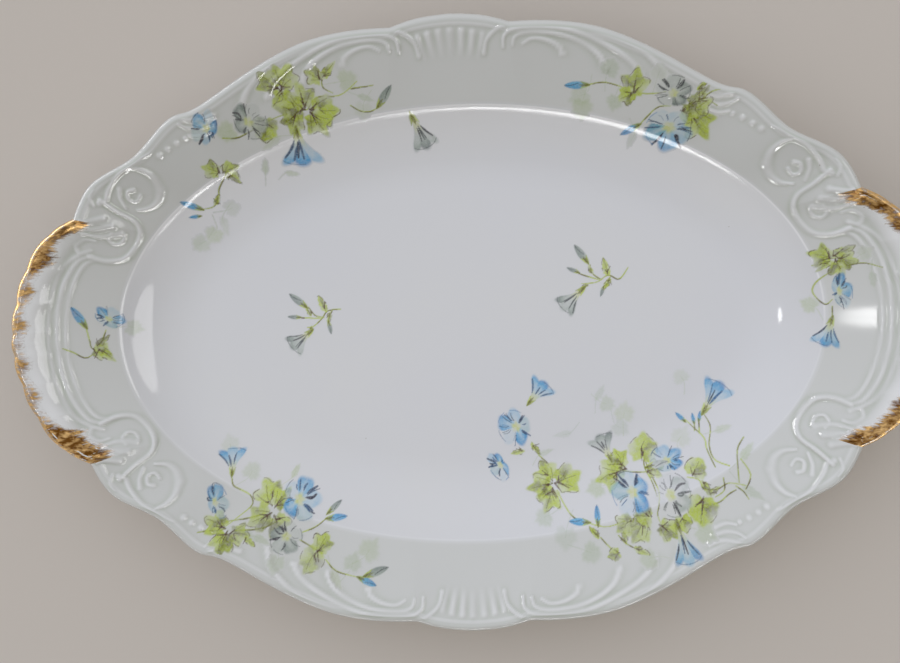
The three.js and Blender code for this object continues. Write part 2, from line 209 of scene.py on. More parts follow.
def spokes_at(form, samples):
    """The dish's section lines: floor, shoulder and edge in plan, and the height of the lip."""
    angle, offset, ruffle, handle, flute = samples
    cos, sin = np.cos(angle), np.sin(angle)
    power = 2 / OVAL_POWER
    oval = np.stack([
        form.overall_length / 2 * np.sign(cos) * np.abs(cos) ** power,
        form.overall_width / 2 * np.sign(sin) * np.abs(sin) ** power,
    ], axis=-1)
    reach = np.linalg.norm(oval, axis=-1, keepdims=True)
    turn = np.stack([cos, sin], axis=-1)
    spokes = SimpleNamespace(floor=form.floor * turn, shoulder=form.shoulder * turn)
    spokes.handle, spokes.flute = handle, flute
    across = oval * (1 + (offset - ruffle)[:, None] / reach) - spokes.shoulder
    spokes.rim_width = np.linalg.norm(across, axis=-1)
    spokes.out = across / spokes.rim_width[:, None]
    rise = form.rim_rise + form.handle_lift * cos ** 2
    spokes.crest = form.shoulder_top + rise
    spokes.slope = rise / (spokes.rim_width + ruffle - form.lip_roll)
    spokes.lift = rise - spokes.slope * (spokes.rim_width - form.lip_roll)
    return spokes


def turned(samples, sign, angle):
    """Edge samples with their angles multiplied by a sign and turned by an angle."""
    return np.vstack([angle + sign * samples[:1], samples[1:]])


def whole_round(form, steps):
    """Spokes all round the dish, clockwise seen from above, the first repeated at the end."""
    parts = [run_samples(run, np.arange(count) / count) for run, count in zip(EDGE_RUNS, steps)]
    quarter = np.hstack(parts + [run_samples(EDGE_RUNS[-1], np.ones(1))])
    half = np.hstack([quarter, turned(quarter[:, -2::-1], -1, math.pi)])
    full = np.hstack([half, turned(half[:, 1:], 1, math.pi)])
    return spokes_at(form, full[:, ::-1])


# Moulded relief in one quarter of the rim, in millimetres from the middle of the platter, repeated
# in the other quarters. Each stroke has its points, its height, and its half width at each end.
RELIEF_STROKES = (
    (((27, 130), (45, 130), (62, 125.5), (76, 119.5), (86, 111.5), (91.5, 104), (93, 97)),
     0.75, 1.1, 2.2),
    (((22.5, 121), (23.5, 126), (30, 128.3), (45, 127.6), (58, 123.6), (70, 117), (78, 110.5),
      (81, 105)), 0.75, 1.1, 2.1),
    (((26.5, 121.5), (28, 125), (34, 126.3), (46, 125), (56, 121), (63, 115.5), (66, 109.5)),
     0.7, 1.0, 2.0),
    (((31, 122), (35, 123.8), (41, 122.8), (46, 120), (47.5, 117)), 0.65, 1.0, 1.8),
    (((14, 119), (15.5, 124.5), (20.5, 128.6), (27, 130.4), (34, 130.6)), 0.8, 1.6, 1.1),
    (((105, 97.5), (111, 95.8), (117, 96.4), (121, 98.5)), 0.7, 1.9, 1.0),
    (((106.5, 94.3), (112, 92.4), (117, 92.8), (120.5, 94.6)), 0.65, 1.7, 0.9),
    (((108, 91), (112.5, 89.2), (117, 89.6)), 0.6, 1.5, 0.9),
    (((158, 63), (152, 57.5), (146, 53), (144.5, 47.5), (147.5, 41), (153, 36.2), (160, 35.5),
      (167, 38)), 1.1, 1.5, 1.9),
    (((171, 56), (165, 54), (158, 55)), 0.8, 1.0, 2.2),
    (((170, 52), (163, 50), (155, 51)), 0.8, 1.0, 2.2),
    (((168, 48.5), (160, 46.5), (152, 47.5)), 0.7, 1.0, 2.0),
    (((160, 36), (168, 35.5), (174, 28), (178, 17), (180, 6), (180.3, -4)), 0.5, 1.5, 1.0),
    (((166, 38), (172, 36), (178, 28), (182, 17), (183.6, 6), (183.8, -4)), 0.55, 1.6, 1.0),
    (((170, 39.5), (177, 35), (182, 27), (185.6, 16), (187.2, 6), (187.4, -4)), 0.5, 1.5, 1.0),
    (((133, 66.5), (134.8, 61.6), (138.8, 58.6), (144, 57.8)), 0.75, 3.2, 0.8),
    (((133, 66.5), (134.4, 71.6), (138, 75.2), (142.4, 76.6)), 0.75, 3.2, 0.9),
    (((134, 82.5), (140.6, 78.8), (148.6, 73.6), (153.8, 67.4), (155.8, 62.9), (158.6, 61.6)),
     0.8, 0.9, 1.9),
    (((141.5, 64.5), (143.6, 61.8), (146.6, 62.6), (146.4, 66), (143.8, 67)), 0.65, 0.9, 1.4),
    (((148.6, 59), (150, 63.5), (149.6, 67.5)), 0.6, 0.9, 1.6),
    (((161, 60.5), (162, 64), (160.6, 67.7)), 0.6, 0.9, 1.5),
    (((151, 47.5), (152.5, 43.8), (156.2, 43), (158, 45.8), (156, 47.8)), 0.65, 0.9, 1.3),
    (((163.5, 45), (167.5, 45.6), (171.5, 43), (170.5, 39.6), (166.5, 40.6)), 0.6, 1.0, 1.6),
    (((112, 101), (119, 103), (127, 100), (132, 94.5), (133.5, 88)), 0.55, 1.0, 1.6),
)
RELIEF_BEADS = (
    (118.5, 88.5, 1.4), (122.5, 86.5, 1.7), (126.5, 84, 1.7), (130, 81.4, 1.9),
)
BEAD_HEIGHT = 0.7
# The mould is worn unevenly: how high the scrolls stand, and how much that varies
SCROLL_LEVEL = 0.85
SCROLL_WEAR = 0.3
# The fan of flutes on each flank: it spreads from its focus, and its pitch is measured at its base
FLUTES = SimpleNamespace(
    pitch=4.6, focus=75, base=125, bow=0.012, sides=(13, 17), foot=(116.5, 127), head=(128.5, 131),
    height=0.62, wear=0.25)
# Soft forms under the scrolls: the hollow panel of each handle, and a boss at each of its corners
HANDLE_PANEL = SimpleNamespace(middle=(165, 0), half=(17, 35), height=-0.7, power=1.5)
CORNER_BOSS = SimpleNamespace(middle=(157, 50), half=(9, 7), height=0.5, power=2)


def stroke_gap(points, path, widths):
    """Distance of places in plan from a path, as a share of the path's half width there."""
    nearest = np.full(len(points), np.inf)
    reach = 1.5 * np.max(widths)
    for begin, end, first, last in zip(path[:-1], path[1:], widths[:-1], widths[1:]):
        low = np.minimum(begin, end) - reach
        high = np.maximum(begin, end) + reach
        close = np.flatnonzero(np.all((points > low) & (points < high), axis=1))
        run = end - begin
        share = np.clip((points[close] - begin) @ run / max(run @ run, 1e-12), 0, 1)
        gap = np.linalg.norm(points[close] - begin - share[:, None] * run, axis=1)
        nearest[close] = np.minimum(nearest[close], gap / (first + (last - first) * share))
    return nearest


def stroke_height(points, knots, height, width_start, width_end):
    """Height of one rounded relief stroke over the given places in plan."""
    shares = np.linspace(0, 1, 4 * len(knots))
    widths = width_start + (width_end - width_start) * shares
    gap = stroke_gap(points, spline(knots, shares), widths)
    return height * np.clip(1 - gap ** 2, 0, None) ** 2


def mound_height(points, mound):
    """Height of a soft oval mound or hollow over the given places in plan."""
    share = np.sum(((points - mound.middle) / mound.half) ** 2, axis=1)
    return mound.height * np.clip(1 - share, 0, None) ** mound.power


def scroll_relief(places):
    """Height of the moulded scrolls, beads and flutes at places in plan, in millimetres."""
    points = np.abs(places.reshape(-1, 2))
    total = np.zeros(len(points))
    for knots, height, width_start, width_end in RELIEF_STROKES:
        total += stroke_height(points, knots, height, width_start, width_end) ** 4
    for across, up, radius in RELIEF_BEADS:
        gap = np.hypot(points[:, 0] - across, points[:, 1] - up) / radius
        total += (BEAD_HEIGHT * np.clip(1 - gap ** 2, 0, None) ** 1.5) ** 4
    x, y = places.reshape(-1, 2).T
    wander = np.sin(0.19 * x + 2.1 * np.sin(0.13 * y)) * np.sin(0.17 * y + 1.3 * np.sin(0.11 * x))
    raised = total ** 0.25 * (SCROLL_LEVEL + SCROLL_WEAR * wander)
    # Flutes are straight spokes of the fan, and their ends lie on bowed lines
    away = np.maximum(points[:, 1] - FLUTES.focus, 1)
    fanned = points[:, 0] * (FLUTES.base - FLUTES.focus) / away
    flute = 0.5 + 0.5 * np.cos(2 * math.pi * fanned / FLUTES.pitch)
    reach = 1 - smooth_step(*FLUTES.sides, fanned)
    crown = points[:, 1] + FLUTES.bow * points[:, 0] ** 2
    length = smooth_step(*FLUTES.foot, crown) * (1 - smooth_step(*FLUTES.head, crown))
    fan = (FLUTES.height + FLUTES.wear * wander) * flute * reach * length
    raised = np.maximum(raised, fan)
    raised = raised + mound_height(points, HANDLE_PANEL) + mound_height(points, CORNER_BOSS)
    return raised.reshape(places.shape[:-1])


# Bands of relief that follow the edge, by their distance in from it, in millimetres
LIP_BEAD = SimpleNamespace(inset=4.4, half_width=1.2, height=0.28)
HANDLE_ROLL = SimpleNamespace(inset=8.5, half_width=7.0, height=1.1)
HANDLE_VALLEY = SimpleNamespace(inset=15.5, half_width=4.0, height=-0.3)
HANDLE_FLUTES = SimpleNamespace(fade=5.5, height=0.4)
# Bare margins of the relief beside the shoulder and the lip, in millimetres
RELIEF_FROM_SHOULDER = (1, 6)
RELIEF_FROM_LIP = 0.8
# Share of the rim's width from which a handle's edge lifts
HANDLE_LIFTS_FROM = 0.6
# Share of the cove's width from which the shoulder rounds it off
SHOULDER_ROUNDS_FROM = 0.85


def band_height(band, inset):
    """Height of a rounded band of relief at distances in from the edge."""
    share = (inset - band.inset) / band.half_width
    return band.height * np.clip(1 - share ** 2, 0, None) ** 2


def soft_lower(first, second, softness):
    """The lower of two heights, rounded off where they meet."""
    return 0.5 * (first + second - np.sqrt((first - second) ** 2 + softness ** 2))


def rim_face(form, spokes, out):
    """Places on the top face at distances out from the shoulder, and the relief's height there."""
    plan = spokes.shoulder + spokes.out * out[..., None]
    wall = form.shoulder_top + math.tan(form.cove_angle) * out
    face = form.shoulder_top + spokes.slope * out
    share = out / (spokes.rim_width - form.lip_roll)
    face = face + spokes.lift * smooth_step(HANDLE_LIFTS_FROM, 1, share)
    height = soft_lower(wall, face, form.arris)
    inset = spokes.rim_width - out
    bead = band_height(LIP_BEAD, inset) * (1 - spokes.handle)
    relief = np.maximum(scroll_relief(plan), bead)
    roll = band_height(HANDLE_ROLL, inset) + band_height(HANDLE_VALLEY, inset)
    flutes = HANDLE_FLUTES.height * np.exp(-((inset / HANDLE_FLUTES.fade) ** 2))
    relief = relief + spokes.handle * roll + spokes.flute * flutes
    relief = relief * smooth_step(*RELIEF_FROM_SHOULDER, out)
    relief = relief * smooth_step(form.lip_roll, form.lip_roll + RELIEF_FROM_LIP, inset)
    return at_height(plan, height + relief), relief


def cove_line(form, spokes, turn):
    """The cove in plan, and its height, where it has turned up by this angle from level."""
    run = math.sin(turn) / math.sin(form.cove_angle)
    climb = (1 - math.cos(turn)) / (1 - math.cos(form.cove_angle))
    plan = spokes.floor + (spokes.shoulder - spokes.floor) * run
    return plan, form.floor_top + form.well_depth * climb


def cove_face(form, spokes, run):
    """Places on the cove, by the share of its width out from the floor."""
    plan, wall = cove_line(form, spokes, math.asin(run * math.sin(form.cove_angle)))
    if run < SHOULDER_ROUNDS_FROM:
        return at_height(plan, wall)
    gap = np.linalg.norm(spokes.shoulder - spokes.floor, axis=-1) * (1 - run)
    return at_height(plan, soft_lower(wall, form.shoulder_top - spokes.slope * gap, form.arris))


def lip_face(form, spokes, facing, lift=0.0):
    """Places on the rolled lip, by the direction it faces in degrees above level."""
    tilt = math.radians(facing)
    out = spokes.rim_width - form.lip_roll + (form.lip_roll + lift) * math.cos(tilt)
    plan = spokes.shoulder + spokes.out * out[:, None]
    half = form.rim_thickness / 2
    return at_height(plan, spokes.crest - half + (half + lift) * math.sin(tilt))


def under_cove(form, spokes, share):
    """Places on the underside of the cove, parallel to its face."""
    turn = form.cove_angle * share
    plan, height = cove_line(form, spokes, turn)
    plan = plan + spokes.out * form.floor_thickness * math.sin(turn)
    return at_height(plan, height - form.floor_thickness * math.cos(turn))


def vertex_places(mesh):
    """Places of a mesh's vertices, in metres."""
    places = np.empty(3 * len(mesh.vertices))
    mesh.vertices.foreach_get("co", places)
    return places.reshape(-1, 3)


def lay_grid(name, points, marks=None):
    """A grid primitive with its rows and columns laid at the given places, in millimetres.

    Marks are values kept at the vertices, by attribute name.
    """
    rows, columns = points.shape[:2]
    bpy.ops.object.select_all(action="DESELECT")
    bpy.ops.mesh.primitive_grid_add(x_subdivisions=columns - 1, y_subdivisions=rows - 1, size=2)
    piece = bpy.context.object
    piece.name = name
    piece.data.name = name
    mesh = piece.data
    start = np.round(vertex_places(mesh), 5)
    order = np.lexsort((start[:, 0], start[:, 1]))
    places = np.empty_like(start)
    places[order] = points.reshape(-1, 3) * MM
    mesh.vertices.foreach_set("co", places.ravel())
    for mark, values in (marks or {}).items():
        if values.ndim == 3:
            kept = np.ones((len(start), 4))
            kept[order, :3] = values.reshape(-1, 3)
            layer = mesh.color_attributes.new(mark, "FLOAT_COLOR", "POINT")
            layer.data.foreach_set("color", kept.ravel())
        else:
            kept = np.empty(len(start))
            kept[order] = values.ravel()
            mesh.attributes.new(mark, "FLOAT", "POINT").data.foreach_set("value", kept)
    mesh.update()
    return piece


def close_seams(piece):
    """Merges the seam and poles of a piece and points its faces outwards."""
    bpy.context.view_layer.objects.active = piece
    bpy.ops.object.mode_set(mode="EDIT")
    bpy.ops.mesh.select_all(action="SELECT")
    bpy.ops.mesh.remove_doubles(threshold=1e-6)
    bpy.ops.mesh.normals_make_consistent(inside=False)
    bpy.ops.object.mode_set(mode="OBJECT")
    bpy.ops.object.shade_smooth()


def add_modifier(piece, kind, **settings):
    """Adds a modifier with its settings and applies it."""
    modifier = piece.modifiers.new(kind.title(), kind)
    for name, value in settings.items():
        setattr(modifier, name, value)
    bpy.context.view_layer.objects.active = piece
    bpy.ops.object.modifier_apply(modifier=modifier.name)


# Films of gold and print lie this far above the glaze, and are this thick, in millimetres
FILM_LIFT = 0.06
FILM_THICKNESS = 0.03
FILM_ANGLE = math.radians(40)


def thicken_film(piece):
    """Gives a film its thickness, downwards."""
    add_modifier(piece, "SOLIDIFY", thickness=FILM_THICKNESS * MM, offset=-1.0)
    bpy.ops.object.shade_smooth_by_angle(angle=FILM_ANGLE)


def place_piece(piece, material, node):
    """Gives a finished piece its material and its place in the frame."""
    piece.data.materials.clear()
    piece.data.materials.append(material)
    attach(piece, "root")
    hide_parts(node)


# Materials

def repeats(millimetres):
    """Texture scale whose features are about this many millimetres across."""
    return 1 / (millimetres * MM)


def fill_sockets(tree, node, values):
    """Sets a node's inputs: a socket is linked, and any other value is written in."""
    for key, value in values.items():
        if isinstance(value, bpy.types.NodeSocket):
            tree.links.new(value, node.inputs[key])
        elif hasattr(value, "__len__") and len(value) == 3 and node.inputs[key].type == "RGBA":
            node.inputs[key].default_value = (*value, 1.0)
        else:
            node.inputs[key].default_value = value


def add_node(tree, kind, values=None, **settings):
    """Adds a node with its settings and its inputs."""
    node = tree.nodes.new(kind)
    for name, value in settings.items():
        setattr(node, name, value)
    fill_sockets(tree, node, values or {})
    return node


def start_material(name):
    """A new material with its node tree and its shader."""
    material = bpy.data.materials.new(name)
    material.use_nodes = True
    tree = material.node_tree
    return material, tree, tree.nodes["Principled BSDF"]


# Sockets of a colour mix
FACTOR, FIRST, SECOND, RESULT = 0, 6, 7, 2

GLAZE_INDEX = 1.52
# Heights between which the glaze of the well gives way to the rim's, greyer as painted shade
RIM_SHADE_STARTS = (24.6 * MM, 25.8 * MM)
RIPPLE_DEPTH = 0.014 * MM
# Iron specks: their radius as a share of the cells they lie in, and the share of cells without one
SPECK_RADIUS = 0.035
SPECK_FREE = 0.97


def glaze_surface(tree, colours):
    """Colour, roughness and ripple of the glaze, the same under the prints and beside them."""
    place = add_node(tree, "ShaderNodeTexCoord").outputs["Object"]
    cloud, wear, peel = [add_node(tree, "ShaderNodeTexNoise", {
        "Vector": place, "Scale": repeats(size), "Detail": detail,
    }).outputs["Fac"] for size, detail in ((80, 2.0), (25, 3.0), (9, 1.0))]
    height = add_node(tree, "ShaderNodeSeparateXYZ", {"Vector": place})
    # Painted shade: above these heights the rim is painted greyer than the well
    shaded_rim = add_node(tree, "ShaderNodeMapRange", {
        "Value": height.outputs["Z"], "From Min": RIM_SHADE_STARTS[0], "From Max": RIM_SHADE_STARTS[1]})
    # Pooled glaze in hollows, darkened further as painted shade
    pool_and_shade = add_node(tree, "ShaderNodeAttribute", attribute_name="glaze_pool_and_shade")
    # White painted highlights, partly where the glaze runs thin
    edge = add_node(tree, "ShaderNodeAttribute", attribute_name="glaze_break_and_highlight")
    cell = add_node(tree, "ShaderNodeTexVoronoi", {"Vector": place, "Scale": repeats(7)})
    dot = add_node(tree, "ShaderNodeMath", {
        0: cell.outputs["Distance"], 1: SPECK_RADIUS}, operation="LESS_THAN")
    pick = add_node(tree, "ShaderNodeSeparateColor", {"Color": cell.outputs["Color"]})
    chosen = add_node(tree, "ShaderNodeMath", {
        0: pick.outputs["Red"], 1: SPECK_FREE}, operation="GREATER_THAN")
    speck = add_node(tree, "ShaderNodeMath", {
        0: dot.outputs["Value"], 1: chosen.outputs["Value"]}, operation="MULTIPLY")
    # Random cooler patches, the rim greyer as painted shade, pooled glaze darkened as painted shade,
    # white painted highlights and iron specks
    colour = colours.glaze
    for share, next_colour in (
        (cloud, colours.cool_glaze),
        (shaded_rim.outputs["Result"], colours.rim_painted_shade),
        (pool_and_shade.outputs["Fac"], colours.pooled_glaze_and_shade),
        (edge.outputs["Fac"], colours.thin_glaze_and_highlight),
        (speck.outputs["Value"], colours.fleck),
    ):
        colour = add_node(tree, "ShaderNodeMix", {
            FACTOR: share, FIRST: colour, SECOND: next_colour}, data_type="RGBA").outputs[RESULT]
    rough = add_node(tree, "ShaderNodeMapRange", {
        "Value": wear, "From Min": 0.3, "From Max": 0.7, "To Min": 0.05, "To Max": 0.11})
    ripple = add_node(tree, "ShaderNodeBump", {
        "Height": peel, "Strength": 1.0, "Distance": RIPPLE_DEPTH})
    return SimpleNamespace(
        place=place, colour=colour, rough=rough.outputs["Result"], ripple=ripple.outputs["Normal"])


def glazed_porcelain(colours):
    """Clear glaze on white porcelain: a hard even gloss, greyer where the glaze pools in hollows and
    darker there as painted shade, greyer on the rim as painted shade, with white painted highlights,
    a faint ripple and a few iron specks."""
    material, tree, shader = start_material("glazed_porcelain")
    surface = glaze_surface(tree, colours)
    fill_sockets(tree, shader, {
        "Base Color": surface.colour, "Roughness": surface.rough, "Normal": surface.ripple,
        "IOR": GLAZE_INDEX,
    })
    return material


def print_enamel(colours):
    """Flower prints fired into the glaze: transparent inks over the white, grainy like a wash of
    watercolour, under the same gloss as the bare glaze."""
    material, tree, shader = start_material("printed_enamel")
    surface = glaze_surface(tree, colours)
    ink = add_node(tree, "ShaderNodeAttribute", attribute_name="ink")
    wash = add_node(tree, "ShaderNodeTexNoise", {
        "Vector": surface.place, "Scale": repeats(0.8), "Detail": 2.0, "Roughness": 0.6})
    thin = add_node(tree, "ShaderNodeMapRange", {
        "Value": wash.outputs["Fac"], "From Min": 0.42, "From Max": 0.72, "To Min": 0.0,
        "To Max": 0.22})
    washed = add_node(tree, "ShaderNodeMix", {
        FACTOR: thin.outputs["Result"], FIRST: ink.outputs["Color"], SECOND: (1.0, 1.0, 1.0),
    }, data_type="RGBA")
    colour = add_node(tree, "ShaderNodeMix", {
        FACTOR: 1.0, FIRST: surface.colour, SECOND: washed.outputs[RESULT],
    }, data_type="RGBA", blend_type="MULTIPLY")
    fill_sockets(tree, shader, {
        "Base Color": colour.outputs[RESULT], "Roughness": surface.rough,
        "Normal": surface.ripple, "IOR": GLAZE_INDEX,
    })
    return material


def worn_gilding(colours):
    """Burnished gold brushed on thin: bright on the rubbed lip, with a painted highlight along its
    outer edge, brown and streaky on the face, where the strokes run out into bare glaze."""
    material, tree, shader = start_material("worn_gilding")
    place = add_node(tree, "ShaderNodeTexCoord").outputs["Object"]
    bright = add_node(tree, "ShaderNodeAttribute", attribute_name="gold_burnish_and_highlight")
    cover = add_node(tree, "ShaderNodeAttribute", attribute_name="gold_cover")
    # Brush marks are drawn out along the platter's length, and turn the gold patchy
    drawn = add_node(tree, "ShaderNodeVectorMath", {
        0: place, 1: (0.45, 1.0, 1.0)}, operation="MULTIPLY")
    streak = add_node(tree, "ShaderNodeTexNoise", {
        "Vector": drawn.outputs["Vector"], "Scale": repeats(1.5), "Detail": 2.0, "Roughness": 0.6})
    mottle = add_node(tree, "ShaderNodeMath", {
        0: streak.outputs["Fac"], 1: 2.0, 2: -1.0}, operation="MULTIPLY_ADD")
    shine = add_node(tree, "ShaderNodeMath", {
        0: bright.outputs["Fac"], 1: mottle.outputs["Value"]}, operation="ADD", use_clamp=True)
    gold = add_node(tree, "ShaderNodeMix", {
        FACTOR: shine.outputs["Value"], FIRST: colours.brown_gold, SECOND: colours.gold,
    }, data_type="RGBA")
    patchy = add_node(tree, "ShaderNodeMath", {
        0: cover.outputs["Fac"], 1: mottle.outputs["Value"]}, operation="ADD", use_clamp=True)
    colour = add_node(tree, "ShaderNodeMix", {
        FACTOR: patchy.outputs["Value"], FIRST: colours.glaze, SECOND: gold.outputs[RESULT],
    }, data_type="RGBA")
    rough = add_node(tree, "ShaderNodeMapRange", {
        "Value": patchy.outputs["Value"], "To Min": 0.08, "To Max": 0.32})
    # The bright lip is less of a mirror, so that it shows its own colour, a painted highlight, under
    # any light
    rubbed = add_node(tree, "ShaderNodeMath", {
        0: bright.outputs["Fac"], 1: -0.45, 2: 1.0}, operation="MULTIPLY_ADD")
    metal = add_node(tree, "ShaderNodeMath", {
        0: patchy.outputs["Value"], 1: rubbed.outputs["Value"]}, operation="MULTIPLY")
    fill_sockets(tree, shader, {
        "Base Color": colour.outputs[RESULT], "Roughness": rough.outputs["Result"],
        "Metallic": metal.outputs["Value"],
    })
    return material


# The wiped edge of the glaze on the foot: its height, how far it wanders and how soft it is
GLAZE_LINE = 1.6 * MM
LINE_WANDER = 1.2 * MM
LINE_SOFTNESS = 0.4 * MM


def biscuit_and_glaze(colours):
    """The foot is glazed down to a wiped line. Its tread is bare fired clay, matt and gritty."""
    material, tree, shader = start_material("biscuit_and_glaze")
    surface = glaze_surface(tree, colours)
    height = add_node(tree, "ShaderNodeSeparateXYZ", {"Vector": surface.place})
    wander = add_node(tree, "ShaderNodeTexNoise", {
        "Vector": surface.place, "Scale": repeats(12), "Detail": 2.0})
    line = add_node(tree, "ShaderNodeMath", {
        0: wander.outputs["Fac"], 1: LINE_WANDER, 2: height.outputs["Z"]}, operation="MULTIPLY_ADD")
    glazed = add_node(tree, "ShaderNodeMapRange", {
        "Value": line.outputs["Value"], "From Min": GLAZE_LINE,
        "From Max": GLAZE_LINE + LINE_SOFTNESS})
    grit = add_node(tree, "ShaderNodeTexNoise", {
        "Vector": surface.place, "Scale": repeats(0.8), "Detail": 3.0})
    clay = add_node(tree, "ShaderNodeMix", {
        FACTOR: grit.outputs["Fac"], FIRST: colours.biscuit, SECOND: colours.glaze,
    }, data_type="RGBA")
    colour = add_node(tree, "ShaderNodeMix", {
        FACTOR: glazed.outputs["Result"], FIRST: clay.outputs[RESULT], SECOND: surface.colour,
    }, data_type="RGBA")
    rough = add_node(tree, "ShaderNodeMapRange", {
        "Value": glazed.outputs["Result"], "To Min": 0.7, "To Max": 0.09})
    fill_sockets(tree, shader, {
        "Base Color": colour.outputs[RESULT], "Roughness": rough.outputs["Result"],
        "IOR": GLAZE_INDEX,
    })
    return material


# The moulded dish

# Rings of the dish from the middle of the floor over the rim and back under it. They lie by shares
# of the floor, cove, rim or cove's angle, or by millimetres out from the shoulder, or by the
# direction that the lip faces in degrees.
FLOOR_SHARES = (0.0, 0.6, 0.97, 1.0)
COVE_RUNS = (0.16, 0.32, 0.48, 0.62, 0.75, 0.86, 0.93, 0.965, 0.985, 0.995)
SHOULDER_OUTS = (0.2, 0.55, 1.1, 2.0)
PLAIN_RINGS = 2
RELIEF_STARTS = 0.11
RELIEF_RINGS = 44
LIP_FACINGS = (65, 40, 15, -10, -40, -65, -90)
UNDER_RIM_SHARES = (0.6, 0.25)
UNDER_COVE_SHARES = (1.0, 0.7, 0.4, 0.0)
SPOKE_STEPS = (100, 180, 45)
# Glaze: the relief's depth that fills a hollow, and how white the painted highlights lie over the
# handle's roll, over crests of the relief (where the glaze also runs thin), on the far side of the
# cove and along the shoulder, where 1 is bare white
POOL_DEPTH = 0.3
ROLL_HIGHLIGHT = 0.6
CREST_THIN_AND_HIGHLIGHT = 0.48
COVE_HIGHLIGHT = 0.6
COVE_HIGHLIGHT_RUNS = (0.25, 0.9)
COVE_HIGHLIGHT_SIDE = (0, 70)
SHOULDER_HIGHLIGHT = (0.15, 1.0)
SHOULDER_HIGHLIGHT_SIDE = (-20, 40)


def soften(values):
    """Values averaged with their neighbours along and across the rim."""
    for _ in range(4):
        values = (np.roll(values, 1, axis=1) + values + np.roll(values, -1, axis=1)) / 3
        padded = np.vstack([values[:1], values, values[-1:]])
        values = (padded[:-2] + padded[1:-1] + padded[2:]) / 3
    return values


class PLATTER_OT_mould_dish(bpy.types.Operator):
    """Mould the dish: floor, cove, shoulder, scrolled rim, rolled lip and underside"""

    bl_idname = "platter.mould_dish"
    bl_label = "Mould the dish"

    def execute(self, context):
        form = in_millimetres(context.scene.platter_sizes)
        spokes = whole_round(form, SPOKE_STEPS)
        count = len(spokes.crest)
        rings = [at_height(spokes.floor * share, form.floor_top) for share in FLOOR_SHARES]
        rings += [cove_face(form, spokes, run) for run in COVE_RUNS]
        top = spokes.rim_width - form.lip_roll
        plain = np.linspace(SHOULDER_OUTS[-1], RELIEF_STARTS * top, PLAIN_RINGS + 1)[1:]
        carved = np.linspace(plain[-1], top, RELIEF_RINGS + 1)[1:]
        near = np.array(SHOULDER_OUTS)[:, None] * np.ones(count)
        outs = np.vstack([near, plain, carved])
        face, relief = rim_face(form, spokes, outs)
        inner = len(rings)
        rim = slice(inner, inner + len(face))
        rings += list(face)
        rings += [lip_face(form, spokes, facing) for facing in LIP_FACINGS]
        for share in UNDER_RIM_SHARES:
            out = share * top
            plan = spokes.shoulder + spokes.out * out[:, None]
            height = form.shoulder_top + spokes.slope * out - form.rim_thickness
            rings.append(at_height(plan, height))
        rings += [under_cove(form, spokes, share) for share in UNDER_COVE_SHARES]
        rings.append(at_height(np.zeros((count, 2)), form.foot_height))
        points = np.stack(rings)
        # Hollows of the relief get greyer pooled glaze, darkened further as painted shade
        pool_and_shade = np.zeros(points.shape[:2])
        crest = (relief - soften(relief)) / POOL_DEPTH
        pool_and_shade[rim] = np.clip(-crest, 0, 1)
        # White painted highlights over the handle's roll, and over crests of the relief, where the
        # glaze also runs thin
        thin = np.zeros(points.shape[:2])
        roll = band_height(HANDLE_ROLL, spokes.rim_width - outs) / HANDLE_ROLL.height
        thin[rim] = np.maximum(ROLL_HIGHLIGHT * spokes.handle * roll, CREST_THIN_AND_HIGHLIGHT * np.clip(crest, 0, 1))
        # Painted light: the far side of the cove is painted whiter, as if lit more
        across = points[inner, :, 1]
        cove = smooth_step(*COVE_HIGHLIGHT_RUNS, np.array(COVE_RUNS))[:, None]
        thin[inner - len(COVE_RUNS):inner] = COVE_HIGHLIGHT * cove * smooth_step(*COVE_HIGHLIGHT_SIDE, across)
        # Painted highlight: a white line along the shoulder, brightest on its far side, partly where
        # the glaze breaks thin over the arris
        least, most = SHOULDER_HIGHLIGHT
        thin[inner - 1:inner + 1] = least + (most - least) * smooth_step(*SHOULDER_HIGHLIGHT_SIDE, across)
        piece = lay_grid("glazed_body", points, {"glaze_pool_and_shade": pool_and_shade, "glaze_break_and_highlight": thin})
        close_seams(piece)
        place_piece(piece, glazed_porcelain(context.scene.platter_colours),
                    "porcelain_body")
        return {"FINISHED"}


# The foot

FOOT_INSET = 9.0
FOOT_STEPS = 240
FOOT_ANGLE = math.radians(50)
# Points of its section: distance out from its centre line, and height
FOOT_SECTION = (
    (-4, 6), (-3.5, 5.1), (-3.1, 4), (-2.7, 2.8), (-2.35, 1.4), (-2, 0.5), (-1.5, 0.1), (-0.8, 0),
    (0.8, 0), (1.5, 0.1), (2, 0.5), (2.35, 1.4), (2.7, 2.8), (3.1, 4), (3.5, 5.1), (4, 6),
)


class PLATTER_OT_turn_foot(bpy.types.Operator):
    """Make the luted foot ring, with a soft tread"""

    bl_idname = "platter.turn_foot"
    bl_label = "Make the foot"

    def execute(self, context):
        form = in_millimetres(context.scene.platter_sizes)
        turn = np.linspace(0, 2 * math.pi, FOOT_STEPS + 1)
        oval = np.stack([np.cos(turn), np.sin(turn)], axis=-1)
        rings = [at_height((form.floor - FOOT_INSET + out) * oval, height)
                 for out, height in FOOT_SECTION + FOOT_SECTION[:1]]
        piece = lay_grid("luted_foot", np.stack(rings))
        close_seams(piece)
        bpy.ops.object.shade_smooth_by_angle(angle=FOOT_ANGLE)
        place_piece(piece, biscuit_and_glaze(context.scene.platter_colours),
                    "foot_ring")
        return {"FINISHED"}


# The gold

# Columns along a handle, rows on its face, and rows on the lip by its facing in degrees
GILT_COLUMNS = 560
GILT_ROWS = 11
GILT_FACINGS = (75, 58, 40, 22, 4, -15, -35, -52)
